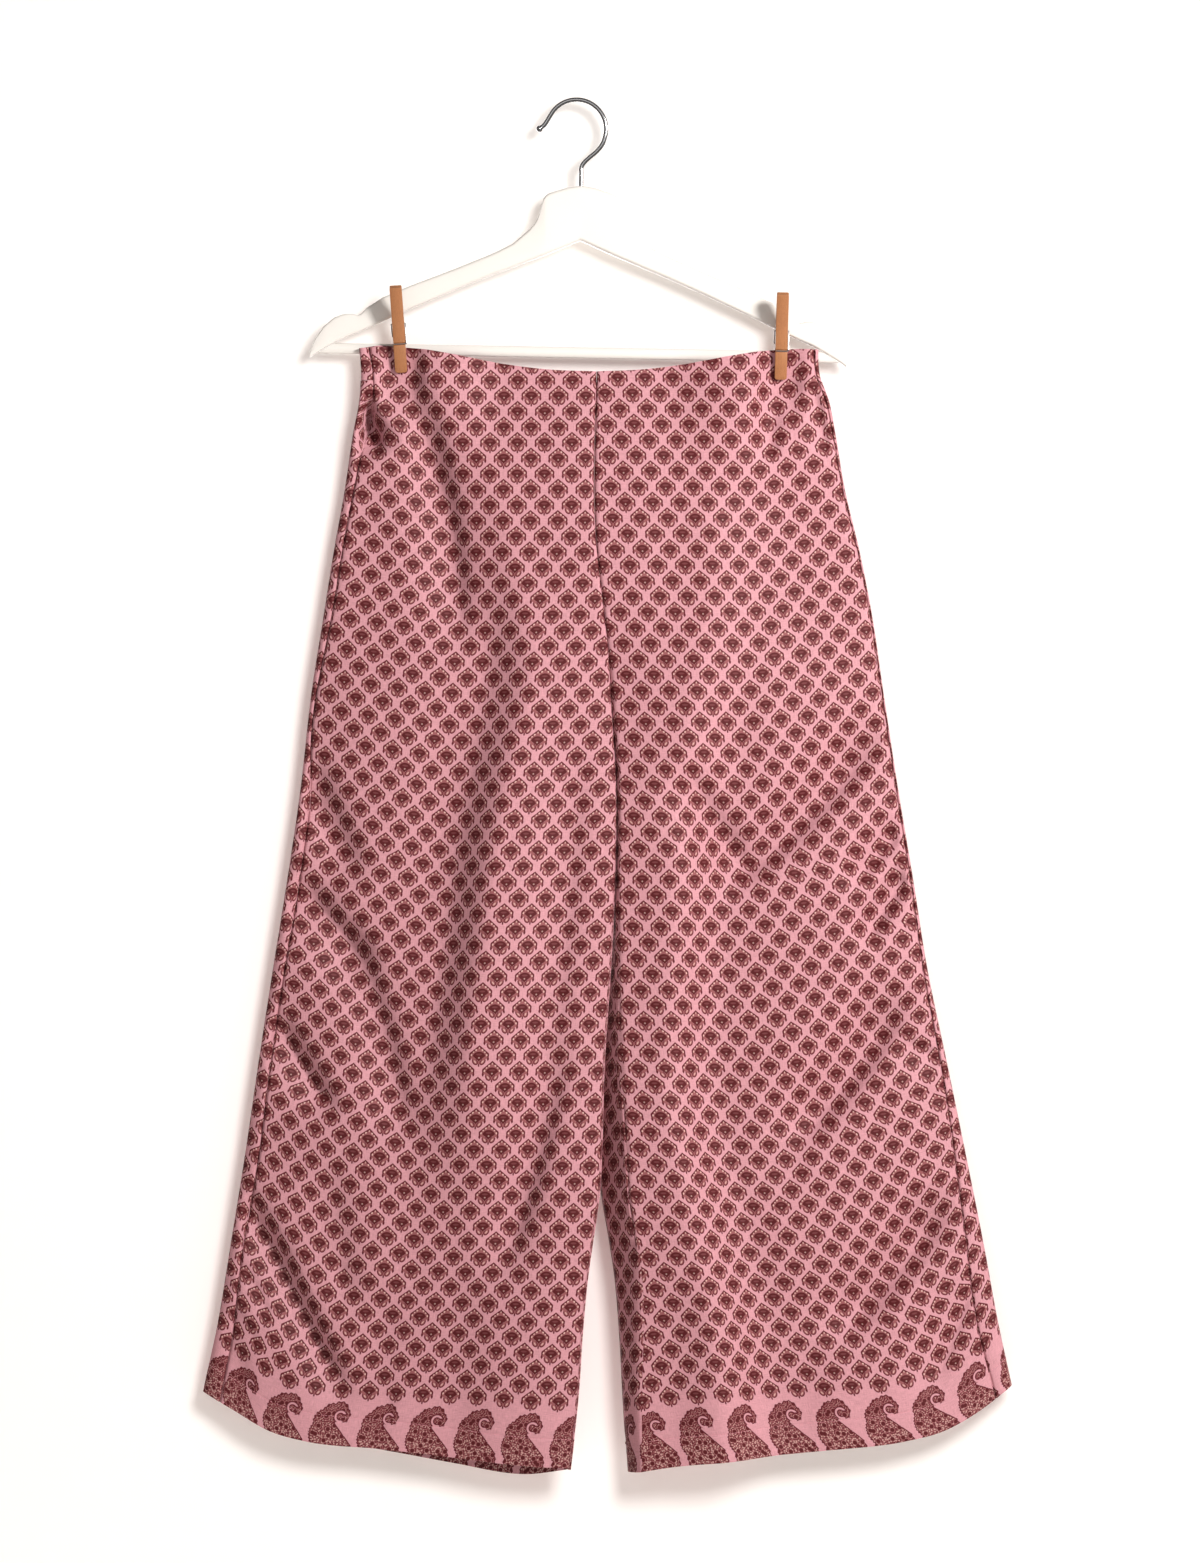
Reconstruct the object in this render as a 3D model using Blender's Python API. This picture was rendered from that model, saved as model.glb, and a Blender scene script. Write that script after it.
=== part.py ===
"""Palazzo pants held by two wooden pegs on a clothes hanger.

+Z is up, the front of the pants faces -Y and +X is the viewer's right, so "left" and "right" are
as seen from the front. The origin is the inside top of the hook, where a rail carries the hanger.
Every length in the tables is in millimetres, and a "drop" is a distance below the origin.
"""

import math

import bmesh
import bpy
import numpy as np
from mathutils import Matrix, Vector

MM = 0.001

# ---------------------------------------------------------------- driving dimensions

SEAM_GAP = 0.3            # between two sewn pieces, along the cloth
CLOTH_WALL = 1.2
HEM_WALL = 1.9            # the hem is turned up, so its wall is thicker
HEM_LEVELS = 0.026        # share of the height that the turned hem takes
CASING_LEVELS = 0.031     # share of the height that the elastic casing takes
CASING_GATHERS = 20       # on each half of the back waist
GATHER_HEIGHT = 1.1
CASING_GAP_LEVELS = 0.0007  # between the casing and the back below it, as a share of the height
SEAM_VALLEY = 6.0         # how deep the front sinks beside the right leg's inner seam
SEAM_VALLEY_WIDTH = 9.0

HANGER_TILT = 1.05        # degrees clockwise, seen from the front
HANGER_MIDDLE = 4.8       # the arms' middle lies this far right of the hook's inside top
BAR_DROP = 208.3
BAR_HEIGHT = 9.0
BAR_DEPTH = 5.0
BAR_REACH = 209.2         # half the bar's length, at its middle height
BAR_END_SLANT = 1.667     # its ends are cut along the arms' undersides

HANGER_CORNER = 3.0       # radius of the wood's softened corners

HOOK_WIRE = 3.6
HOOK_RADIUS = 24.5        # centre line of the hook's arc
NECK_TOP = 70.0

PEG_WIDTH = 10.0
PEG_JAW = 42.5            # pivot to jaw tip
PEG_HANDLE = 29.5         # pivot to handle end
PEG_ABOVE_BAR = 22.2      # pivot above the bar's middle
PEG_OPEN = 12.7           # degrees that each leg is turned about the pivot
PEG_LEAN = 25.5           # degrees that the handles lean forward
PEG_INNER = 0.15          # pegs' middle plane to the inner face of a leg
PEG_HANDLE_INNER = 6.7    # the same at the handle's end
PEG_GROOVE = 18.0         # pivot to the groove that holds the spring's wire
PEG_GROOVE_OUT = 4.0      # middle plane to the groove's floor
SPRING_WIRE = 1.0
SPRING_RADIUS = 2.2
SPRING_TURNS = 3
SPRING_PITCH = 1.35
SPRING_CLEARANCE = 0.35   # wire to wood

PEG_CLEARANCE = 1.4       # jaw to cloth
CLIPPED = 3.4             # front face to back face of the two cloth layers under a peg
BAR_FACE = 2.8            # from the bar's middle to what lies against it
PEG_DENT = 18.0           # half width of the stretch of cloth that a peg presses
PRESS_ENDS = (22, 75)     # drop below the bar over which the pressed cloth opens out
PUSH_STARTS = 3           # drop below the bar where the jaw starts to push the cloth back
PUSH_ENDS = (24, 80)
BEHIND_ENDS = (22, 130)   # drop below the bar over which the cloth comes back to the middle
BAR_PASSES = ((0.38, 0.70), (0.30, 0.62))  # shares, on each half, where the bar goes behind the cloth

# ---------------------------------------------------------------- tables

# Side edges of the flat-hung pants.
SIDES = (  # drop, left leg, right leg
    (200, -181.0, 200.0),
    (228, -179.0, 201.5),
    (250, -180.5, 209.0),
    (273, -185.0, 213.5),
    (322, -192.5, 222.0),
    (372, -201.5, 234.0),
    (422, -209.5, 244.0),
    (492, -220.5, 254.5),
    (571, -229.5, 266.5),
    (646, -240.5, 279.0),
    (721, -252.5, 291.0),
    (795, -264.0, 306.5),
    (870, -275.0, 322.0),
    (945, -287.0, 337.0),
    (1020, -299.5, 351.0),
    (1068, -310.0, 361.5),
    (1150, -326.0, 377.0),
)

# Centre seam down to the crotch, and below it the inner edge of each leg.
INNER_EDGES = (  # drop, left leg, right leg
    (200, 16.6, 16.6),
    (372, 16.6, 16.6),
    (422, 22.3, 22.3),
    (455, 25.7, 25.7),
    (492, 27.5, 27.5),
    (571, 31.8, 31.8),
    (646, 30.8, 30.8),
    (721, 26.6, 26.6),
    (795, 21.6, 21.6),
    (870, 19.3, 19.6),
    (899, 18.4, 20.2),
    (945, 12.8, 26.8),
    (970, 9.2, 30.6),
    (1020, 4.4, 37.2),
    (1068, 1.2, 40.6),
    (1150, -8.0, 47.0),
)

# Half the depth of the hollow form, the radius of its folded edges, and how far it is parted
# into legs.
FORM = (  # drop, half depth, edge radius, parted
    (200, 9.0, 3.5, 0.0),
    (250, 10.5, 3.5, 0.0),
    (322, 12.5, 4.0, 0.0),
    (372, 13.5, 4.5, 0.0),
    (422, 14.5, 5.0, 0.3),
    (455, 15.0, 5.0, 0.68),
    (492, 15.5, 5.0, 1.0),
    (571, 16.5, 5.0, 1.0),
    (721, 18.0, 5.0, 1.0),
    (870, 20.0, 5.5, 1.0),
    (1020, 22.5, 6.0, 1.0),
    (1150, 24.5, 6.0, 1.0),
)

# Where the seams lie on the front, as a distance in from the edge: the back wraps round by so much.
SEAM_INSETS = (  # drop, left side, right side, right inner leg
    (200, 8.0, 6.0, 0.0),
    (250, 11.0, 5.0, 0.0),
    (322, 7.5, 4.0, 0.0),
    (422, 7.0, 4.0, 0.0),
    (530, 4.5, 4.0, 0.0),
    (580, 9.0, 4.0, 0.0),
    (646, 10.5, 4.5, 3.5),
    (721, 10.0, 5.0, 9.0),
    (830, 11.0, 7.0, 19.5),
    (870, 12.0, 9.5, 22.5),
    (899, 12.0, 11.5, 23.0),
    (945, 11.0, 14.5, 19.0),
    (970, 11.5, 16.5, 15.5),
    (1020, 14.5, 18.0, 9.5),
    (1068, 16.0, 16.0, 7.0),
    (1150, 17.0, 14.0, 4.5),
)

# Top edge, by share of the way from the centre to the side.
WAIST_EDGE = (  # share, front left, front right, back left, back right
    (0.00, 224.3, 224.3, 232.0, 232.0),
    (0.20, 222.8, 222.8, 231.0, 231.0),
    (0.40, 218.0, 218.4, 227.0, 227.0),
    (0.60, 210.6, 212.0, 219.0, 220.5),
    (0.80, 204.6, 206.6, 205.5, 208.0),
    (0.90, 204.0, 205.8, 202.6, 206.0),
    (1.00, 205.0, 206.2, 205.0, 206.2),
)

# Bottom edge, by share of the way from the inner edge to the side.
HEM_EDGE = (  # share, front left, front right, back left, back right
    (0.00, 1133.5, 1138.0, 1133.5, 1138.0),
    (0.10, 1133.0, 1133.5, 1139.5, 1132.0),
    (0.30, 1127.4, 1126.4, 1133.5, 1124.0),
    (0.50, 1118.8, 1118.2, 1122.0, 1116.0),
    (0.70, 1110.8, 1110.8, 1111.0, 1109.0),
    (0.80, 1102.5, 1102.5, 1102.0, 1102.0),
    (0.90, 1086.0, 1086.0, 1086.5, 1086.5),
    (1.00, 1070.0, 1065.0, 1070.0, 1065.0),
)

# The inner half of each leg hangs forward of its outer half: how far, and where the cloth rises
# to it on the left leg and falls from it on the right leg, with half the width of each slope.
FORWARD = (  # drop, forward, left x, left half width, right x, right half width
    (200, 0.0, -105.0, 26.0, 135.0, 30.0),
    (235, 0.0, -105.0, 26.0, 135.0, 30.0),
    (272, 4.0, -100.0, 26.0, 135.0, 30.0),
    (397, 11.0, -68.0, 24.0, 131.0, 30.0),
    (480, 16.0, -56.0, 22.0, 121.0, 29.0),
    (549, 20.0, -70.0, 20.0, 111.0, 28.0),
    (619, 23.0, -83.0, 20.0, 104.0, 27.0),
    (721, 25.0, -97.0, 21.0, 99.0, 26.0),
    (820, 25.0, -110.0, 24.0, 96.0, 27.0),
    (920, 24.0, -112.0, 30.0, 114.0, 28.0),
    (1020, 22.0, -108.0, 34.0, 135.0, 28.0),
    (1150, 20.0, -104.0, 36.0, 148.0, 30.0),
)

# The largest folds: a straight run that may bow sideways, its half width, and how deep it sinks.
# A negative depth stands proud.
FRONT_FOLDS = (  # name, x at top, drop at top, x at foot, drop at foot, bow, half width, depth
    ("left seam pucker", -170, 246, -158, 284, 0, 8, 4.0),
    ("left peg pull", -124, 240, -90, 445, 6, 13, 5.5),
    ("left thigh foot", -60, 430, -120, 690, 0, 17, 3.5),
    ("left inner leg", 7, 536, -45, 951, 9, 13, 5.5),
    ("left outer slant", -224, 555, -188, 636, 0, 11, 6.0),
    ("left knee slant", -222, 655, -170, 706, 0, 10, 5.5),
    ("left knee turn", -178, 690, -131, 860, 4, 13, 6.0),
    ("left calf slant", -240, 764, -202, 830, 0, 10, 4.5),
    ("left corner crease", -267, 892, -196, 1064, 3, 10, 6.5),
    ("left shin crease", -200, 881, -179, 999, 0, 13, 3.0),
    ("left corner pleat", -283, 1000, -268, 1078, 0, 8, 3.0),
    ("left hem wave", -150, 985, -164, 1118, 3, 18, 3.5),
    ("left hem swell", -76, 960, -78, 1130, 0, 24, -3.0),
    ("right peg pull", 169, 238, 162, 296, 0, 10, 4.0),
    ("right seam pucker", 208, 244, 212, 288, 0, 7, 3.0),
    ("right hip swell", 92, 330, 130, 560, 6, 26, -2.5),
    ("right knee dip", 98, 560, 144, 634, -3, 12, 3.5),
    ("right knee slant", 240, 543, 158, 630, 5, 13, 4.5),
    ("right calf slant", 278, 760, 200, 852, 4, 17, 5.5),
    ("right calf dip", 160, 858, 194, 883, 0, 11, 2.5),
    ("right seam crease", 268, 776, 304, 794, 0, 8, 3.0),
    ("right corner slant", 304, 934, 228, 1022, 4, 18, 4.5),
    ("right corner pleat", 330, 985, 300, 1070, 0, 12, 3.5),
    ("right hem wave", 205, 985, 196, 1112, 0, 20, 3.0),
    ("right inner hem wave", 92, 985, 90, 1128, 0, 17, 3.0),
)
BACK_FOLDS = (  # name, x at top, drop at top, x at foot, drop at foot, bow, half width, depth
    ("left gather", -112, 238, -118, 330, 0, 12, 3.5),
    ("left mid gather", -66, 240, -64, 350, 0, 12, 3.5),
    ("left inner gather", -20, 242, -14, 340, 0, 12, 3.0),
    ("right inner gather", 52, 242, 46, 345, 0, 12, 3.0),
    ("right mid gather", 96, 240, 98, 352, 0, 12, 3.5),
    ("right gather", 138, 238, 148, 330, 0, 12, 3.5),
    ("left seat", -150, 300, -70, 470, 8, 18, 5.0),
    ("left back thigh", -62, 480, -98, 760, -5, 18, 5.5),
    ("left back shin", -108, 740, -128, 1010, 4, 20, 6.0),
    ("left back slant", -205, 560, -140, 730, 8, 14, 5.0),
    ("left back crease", -246, 880, -190, 1040, 2, 11, 5.5),
    ("left back hem wave", -226, 980, -238, 1092, 0, 16, 4.0),
    ("left back inner wave", -48, 900, -50, 1130, 0, 18, 4.0),
    ("right seat", 172, 300, 110, 480, -8, 18, 5.0),
    ("right back thigh", 104, 470, 124, 740, 5, 18, 5.5),
    ("right back shin", 130, 730, 160, 1000, -4, 20, 6.0),
    ("right back slant", 240, 600, 186, 760, -8, 14, 5.0),
    ("right back crease", 284, 860, 236, 1010, -2, 12, 5.5),
    ("right back hem wave", 262, 980, 274, 1090, 0, 16, 4.0),
    ("right back inner wave", 88, 900, 92, 1124, 0, 18, 4.0),
)

# Half of the hanger, outwards from its middle.
HANGER_ARM = (  # out, drop of top, drop of underside, depth
    (0.0, 70.0, 115.3, 12.0),
    (11.0, 71.6, 120.1, 12.0),
    (22.0, 75.0, 124.9, 12.0),
    (28.0, 77.2, 127.4, 12.0),
    (31.0, 80.6, 128.7, 12.0),
    (33.0, 89.0, 129.5, 12.0),
    (36.0, 99.0, 130.7, 11.8),
    (42.0, 106.6, 133.0, 11.2),
    (56.0, 119.0, 138.8, 10.0),
    (71.5, 127.0, 144.8, 9.0),
    (106.0, 141.6, 159.4, 7.4),
    (141.0, 155.6, 175.0, 6.2),
    (163.0, 165.4, 185.6, 6.0),
    (176.0, 174.0, 191.4, 6.0),
    (180.5, 179.0, 193.5, 6.0),
    (183.5, 180.8, 194.8, 6.0),
    (187.0, 179.4, 196.3, 6.0),
    (195.0, 179.6, 199.8, 6.0),
    (203.0, 182.8, 203.8, 6.0),
    (211.5, 190.2, 208.8, 6.0),
    (218.5, 200.6, 213.2, 5.6),
    (222.6, 212.0, 216.2, 5.0),
)

# The hook's wire, from the neck up to its round arc, and past the arc to its end.
HOOK_STEM = (  # out, drop
    (4.6, NECK_TOP - SEAM_GAP),
    (4.6, 61.0),
    (4.7, 54.0),
    (8.6, 48.4),
    (16.5, 41.5),
    (21.4, 35.4),
)
HOOK_ARC = (-16, 165, 13)  # first angle, last angle, step, in degrees from the right
HOOK_TIP = (  # out, drop
    (-26.4, 19.2),
    (-29.5, 22.0),
)
HOOK_BEAD = (  # past the wire's end, radius
    (0.5, 2.3),
    (1.7, 2.7),
    (3.0, 2.3),
    (3.9, 1.2),
)

PEGS = (  # name, x at the bar, lean in the hanger's plane in degrees
    ("left", -146.8, -3.4),
    ("right", 169.2, 1.1),
)

# Side view of a peg leg, outwards from the pegs' middle plane and up from the pivot.
PEG_OUTSIDE = (  # out, up
    (10.0, PEG_HANDLE),
    (5.4, 5.0),
    (4.6, -2.0),
    (4.8, 1.2 - PEG_GROOVE),
    (PEG_GROOVE_OUT, 0.8 - PEG_GROOVE),
    (PEG_GROOVE_OUT, -0.8 - PEG_GROOVE),
    (4.7, -1.2 - PEG_GROOVE),
    (4.4, -33.0),
    (2.7, -PEG_JAW),
)

# Half of the spring's wire, from its groove round the side of the leg to the coil. "In" is
# measured from the end of the wire's reach to the side, the share from the coil's middle to the
# groove, and the lift is added upwards.
SPRING_ARM = (  # in, share, lift
    (1.0, 1.0, 0.0),
    (0.15, 0.97, 0.4),
    (0.0, 0.85, 0.0),
    (0.0, 0.3, -0.7),
)
SPRING_ENTRY = (0.0, 0.8, 2.2)  # in, from the side of the coil to its first turn

MATERIALS = {  # colour, roughness, metallic
    "satin_print": ((0.56, 0.24, 0.28, 1.0), 0.45, 0.0),
    "white_lacquer": ((0.88, 0.86, 0.83, 1.0), 0.35, 0.0),
    "beech_wood": ((0.62, 0.33, 0.15, 1.0), 0.6, 0.0),
    "chrome": ((0.75, 0.75, 0.76, 1.0), 0.15, 1.0),
    "spring_steel": ((0.5, 0.5, 0.5, 1.0), 0.3, 1.0),
}

# ---------------------------------------------------------------- reading the tables


def read_smooth(table, column, at):
    """The named column of a table at the places `at`, on a smooth curve through its rows."""
    known = np.array([row[0] for row in table], float)
    value = np.array([row[column] for row in table], float)
    slope = np.gradient(value, known)
    at = np.clip(at, known[0], known[-1])
    i = np.clip(np.searchsorted(known, at) - 1, 0, len(known) - 2)
    step = known[i + 1] - known[i]
    t = (at - known[i]) / step
    return (
        value[i] * (1 + 2 * t) * (1 - t) ** 2
        + value[i + 1] * t * t * (3 - 2 * t)
        + step * (slope[i] * t * (1 - t) ** 2 + slope[i + 1] * t * t * (t - 1))
    )


def ease(value, start, end):
    """0 before start, 1 past end, and a soft step between them."""
    t = np.clip((value - start) / (end - start), 0, 1)
    return t * t * (3 - 2 * t)


def fold_depth(folds, x, drop):
    """How far the folds press the cloth in at each place."""
    depth = np.zeros(np.shape(x))
    for _, x0, drop0, x1, drop1, bow, width, sink in folds:
        run = math.hypot(x1 - x0, drop1 - drop0)
        along = ((x - x0) * (x1 - x0) + (drop - drop0) * (drop1 - drop0)) / run**2
        across = ((x - x0) * (drop1 - drop0) - (drop - drop0) * (x1 - x0)) / run
        bowed = across - bow * 4 * along * (1 - along)
        ends = ease(along, -0.15, 0.25) * (1 - ease(along, 0.75, 1.15))
        depth += sink * ends * np.exp(-((bowed / width) ** 2))
    return depth


def forward_of(x, drop):
    """How far the cloth hangs forward of the hanger at each place."""
    forward, left_x, left_half, right_x, right_half = (
        read_smooth(FORWARD, column, drop) for column in (1, 2, 3, 4, 5)
    )
    rise = ease(x, left_x - left_half, left_x + left_half)
    fall = 1 - ease(x, right_x - right_half, right_x + right_half)
    return forward * rise * fall


# ---------------------------------------------------------------- the form of the cloth
# A place on the cloth has a leg (0 left, 1 right), a turn and a level. The turn goes round the leg:
# 0 is its inner edge, 1 its side edge, with the front between them, and 2 the inner edge again,
# reached over the back. The level is 0 at the top edge and 1 at the hem.


def turn_at(share):
    """The turn on the front at a share of the way from the inner edge to the side."""
    return 2 / math.pi * np.arcsin(np.sqrt(share))


def bar_drop(x):
    """Drop of the tilted bar's middle under a place on it."""
    tilt = math.radians(HANGER_TILT)
    return BAR_DROP * math.cos(tilt) + (x + BAR_DROP * math.sin(tilt)) * math.sin(tilt)


def cloth_faces(leg, turn, level, gathers=0.0):
    """Points on the outer face of the cloth, in millimetres."""
    share = np.sin(math.pi * turn / 2) ** 2
    face = np.where(np.sin(math.pi * turn) > 0, 1.0, -1.0)  # 1 on the front, -1 on the back
    edge = np.where(face > 0, 0, 2) + leg + 1
    top = np.choose(edge - 1, [read_smooth(WAIST_EDGE, c, share) for c in (1, 2, 3, 4)])
    hem = np.choose(edge - 1, [read_smooth(HEM_EDGE, c, share) for c in (1, 2, 3, 4)])
    drop = top + level * (hem - top)

    outward = 1 if leg else -1
    inner = read_smooth(INNER_EDGES, leg + 1, drop) + outward * SEAM_GAP / 1.5
    side = read_smooth(SIDES, leg + 1, drop)
    width = np.abs(side - inner)
    x = inner + share * (side - inner)

    half = read_smooth(FORM, 1, drop)
    radius = read_smooth(FORM, 2, drop)
    parted = np.clip(read_smooth(FORM, 3, drop), 0, 1)
    to_side = 1 - np.minimum(width * (1 - share) / radius, 1)
    to_inner = 1 - np.minimum(width * share / radius, 1)
    round_side = np.sqrt(1 - to_side**2)
    round_inner = 1 - parted * (1 - np.sqrt(1 - to_inner**2))
    swell = (1 - parted) * (1 - share**2) + parted * 4 * share * (1 - share)
    plain = radius + (half - radius) * swell
    thick = plain - radius * (1 - round_side * round_inner)

    # Folds fade out where the cloth turns round its edges.
    flat = ease(width * (1 - share), 0, 12) * (1 - parted * (1 - ease(width * share, 0, 12)))
    front = fold_depth(FRONT_FOLDS, x, drop)
    back = fold_depth(BACK_FOLDS, x, drop)
    seam = read_smooth(SEAM_INSETS, 3, drop)
    from_seam = (width * share - seam) / SEAM_VALLEY_WIDTH
    valley = leg * SEAM_VALLEY * ease(seam, 2, 16) * np.exp(-(from_seam**2))
    sink = flat * np.where(face > 0, front + valley, back)

    # At the pegs and past them both layers hang in front of the bar, and a peg's front jaw presses
    # them together and back under the bar.
    below = drop - bar_drop(x)
    pressed = np.zeros(np.shape(x))
    for _, peg_x, _ in PEGS:
        pressed += np.exp(-(((x - peg_x) / PEG_DENT) ** 4))
    jaw_slope = math.tan(math.radians(PEG_LEAN - PEG_OPEN))
    pushed = pressed * jaw_slope * np.clip(below - PUSH_STARTS, 0, PUSH_ENDS[0] - PUSH_STARTS)
    pushed = pushed * (1 - ease(below, *PUSH_ENDS))
    pressed = pressed * (1 - ease(below, *PRESS_ENDS))
    plain = plain * (1 - pressed) + pressed * CLIPPED / 2
    thick = thick * (1 - pressed) + pressed * CLIPPED / 2 * round_side
    held = ease(share, *BAR_PASSES[leg]) * (1 - ease(below, *BEHIND_ENDS))
    middle = pushed - (BAR_FACE + plain) * held - forward_of(x, drop)
    gather = gathers * (np.cos(2 * math.pi * CASING_GATHERS * share) - 1) * flat

    y = middle - face * (thick - (1 - pressed) * (sink - gather))
    return np.stack([x, y, -drop], axis=-1)


def cloth_wall(leg, turn, level, wall, gathers=0.0):
    """The outer and the inner face of a stretch of cloth, as two grids of points."""
    step = 0.0004
    outer = cloth_faces(leg, turn, level, gathers)
    ahead, behind = (cloth_faces(leg, turn + s, level, gathers) for s in (step, -step))
    lower, upper = (cloth_faces(leg, turn, level + s, gathers) for s in (step, -step))
    normal = np.cross(ahead - behind, lower - upper)
    normal /= np.linalg.norm(normal, axis=-1, keepdims=True)
    outward = -1 if leg else 1
    return outer, outer - outward * normal * np.reshape(wall, (-1, 1, 1))


def seam_turns(leg, level):
    """The turns of the two seams beside the front panel, in each row."""
    drop = read_smooth(WAIST_EDGE, leg + 1, 1.0)
    drop = drop + level * (read_smooth(HEM_EDGE, leg + 1, 1.0) - drop)
    inner = read_smooth(INNER_EDGES, leg + 1, drop)
    width = np.abs(read_smooth(SIDES, leg + 1, drop) - inner)
    side_share = 1 - read_smooth(SEAM_INSETS, leg + 1, drop) / width
    inner_share = leg * np.maximum(read_smooth(SEAM_INSETS, 3, drop), 0) / width
    half_gap = SEAM_GAP * 0.7 / width
    return inner_share, side_share, half_gap


# ---------------------------------------------------------------- building meshes


def add_object(name, vertices, faces, material, smooth=True):
    mesh = bpy.data.meshes.new(name)
    mesh.from_pydata([tuple(float(c) * MM for c in v) for v in vertices], [], faces)
    shape = bmesh.new()
    shape.from_mesh(mesh)
    bmesh.ops.recalc_face_normals(shape, faces=shape.faces)
    shape.to_mesh(mesh)
    shape.free()
    if smooth:
        mesh.shade_smooth()
        mesh.set_sharp_from_angle(angle=math.radians(50))
    mesh.materials.append(bpy.data.materials[material])
    item = bpy.data.objects.new(name, mesh)
    bpy.context.collection.objects.link(item)
    return item


def grid_shell(name, outer, inner, material):
    """A closed wall between two grids of points of the same size."""
    rows, columns = outer.shape[:2]
    vertices = np.concatenate([outer.reshape(-1, 3), inner.reshape(-1, 3)])
    below = rows * columns
    faces = []
    for r in range(rows - 1):
        for c in range(columns - 1):
            # Both faces of the wall are split along the same diagonal, so that they never meet.
            a, b, d, e = (r * columns + c + k for k in (0, 1, columns + 1, columns))
            if np.linalg.norm(vertices[a] - vertices[d]) < np.linalg.norm(vertices[b] - vertices[e]):
                halves = ((a, b, d), (a, d, e))
            else:
                halves = ((a, b, e), (b, d, e))
            for half in halves:
                faces.append(half)
                faces.append(tuple(i + below for i in reversed(half)))
    rim = [c for c in range(columns)]
    rim += [r * columns + columns - 1 for r in range(1, rows)]
    rim += [(rows - 1) * columns + c for c in range(columns - 2, -1, -1)]
    rim += [r * columns for r in range(rows - 2, 0, -1)]
    for a, b in zip(rim, rim[1:] + rim[:1]):
        faces.append((b, a, a + below, b + below))
    return add_object(name, vertices, faces, material)


def rings_solid(name, rings, material, smooth=True):
    """A closed solid through rings of points, with a flat cap on each end."""
    count = len(rings[0])
    vertices = [point for ring in rings for point in ring]
    faces = [tuple(range(count)), tuple(reversed(range(len(vertices) - count, len(vertices))))]
    for r in range(len(rings) - 1):
        for c in range(count):
            a, b = r * count + c, r * count + (c + 1) % count
            faces.append((b, a, a + count, b + count))
    return add_object(name, vertices, faces, material, smooth)


def tube_rings(path, radius, sides):
    """Rings of a round wire along a path, kept from twisting."""
    path = [Vector(p) for p in path]
    rings, across = [], None
    for i, point in enumerate(path):
        ahead = (path[min(i + 1, len(path) - 1)] - path[max(i - 1, 0)]).normalized()
        if across is None:
            across = ahead.orthogonal().normalized()
        across = (across - ahead * across.dot(ahead)).normalized()
        up = ahead.cross(across)
        angles = [2 * math.pi * k / sides for k in range(sides)]
        rings.append([point + radius * (across * math.cos(a) + up * math.sin(a)) for a in angles])
    return rings


def smooth_path(points, steps):
    """A Catmull-Rom curve through points, with `steps` stretches between two of them."""
    points = [Vector(p) for p in points]
    ends = [points[0] * 2 - points[1]] + points + [points[-1] * 2 - points[-2]]
    path = []
    for a, b, c, d in zip(ends, ends[1:], ends[2:], ends[3:]):
        for k in range(steps):
            t = k / steps
            bend = (2 * a - 5 * b + 4 * c - d) * t * t + (3 * b - a - 3 * c + d) * t**3
            path.append((2 * b + (c - a) * t + bend) / 2)
    return path + [points[-1]]


# ---------------------------------------------------------------- cloth pieces

BODY_LEVELS = np.concatenate([
    np.linspace(CASING_LEVELS, 0.12, 5)[:-1],
    np.linspace(0.12, 1 - HEM_LEVELS, 23),
    [1 - HEM_LEVELS + 0.004, 1.0],
])
FRONT_LEVELS = np.concatenate([np.linspace(0, CASING_LEVELS, 4)[:-1], BODY_LEVELS])
FRONT_COLUMNS = 19
BACK_COLUMNS = 20
ROUND_SHARES = (0.34, 0.67)  # extra columns where the back wraps round an edge
EDGE_SHARES = (0.006, 0.002, 0.0005)  # the same where it ends at the edge without wrapping
VERY_EDGE = 0.00002          # share of the width that stands for the edge itself


def wall_of(levels):
    return np.where(levels > 1 - HEM_LEVELS, HEM_WALL, CLOTH_WALL)


def front_panel(name, leg):
    inner_share, side_share, half_gap = seam_turns(leg, FRONT_LEVELS)
    first = turn_at(np.maximum(inner_share + half_gap, VERY_EDGE))
    last = turn_at(side_share - half_gap)
    across = np.linspace(0, 1, FRONT_COLUMNS)
    turn = first[:, None] + across[None, :] * (last - first)[:, None]
    outer, inner = cloth_wall(leg, turn, FRONT_LEVELS[:, None], wall_of(FRONT_LEVELS))
    return grid_shell(name, outer, inner, "satin_print")


def wrapped_turns(leg, levels, columns):
    """Rows of turns from the side seam round the side edge and over the back to the inner seam."""
    inner_share, side_share, half_gap = seam_turns(leg, levels)
    start = turn_at(side_share + half_gap)
    wrapped = 2 + turn_at(np.maximum(inner_share - half_gap, 0))
    end = np.where(inner_share > 0.001, wrapped, 2 - turn_at(VERY_EDGE))
    wrap = [start + (1 - start) * k for k in (0, *ROUND_SHARES)]
    over = [1 + (1 - 1e-9) * k / columns for k in range(columns)]
    over = [np.full(len(levels), t) for t in over]
    return np.stack(wrap + over + [end], axis=-1)


def back_panel(name, leg):
    levels = BODY_LEVELS.copy()
    levels[0] += CASING_GAP_LEVELS
    turn = wrapped_turns(leg, levels, BACK_COLUMNS)
    if leg:  # the right leg's back also wraps round the inner edge
        beyond = turn[:, -1:]
        wrap = np.concatenate([2 + (beyond - 2) * k for k in (0, *ROUND_SHARES)], axis=1)
        close = np.array([[2 - turn_at(share) for share in EDGE_SHARES]])
        turn = np.concatenate([turn[:, :-1], np.where(beyond > 2, wrap, close), beyond], axis=1)
    outer, inner = cloth_wall(leg, turn, levels[:, None], wall_of(levels))
    return grid_shell(name, outer, inner, "satin_print")


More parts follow.
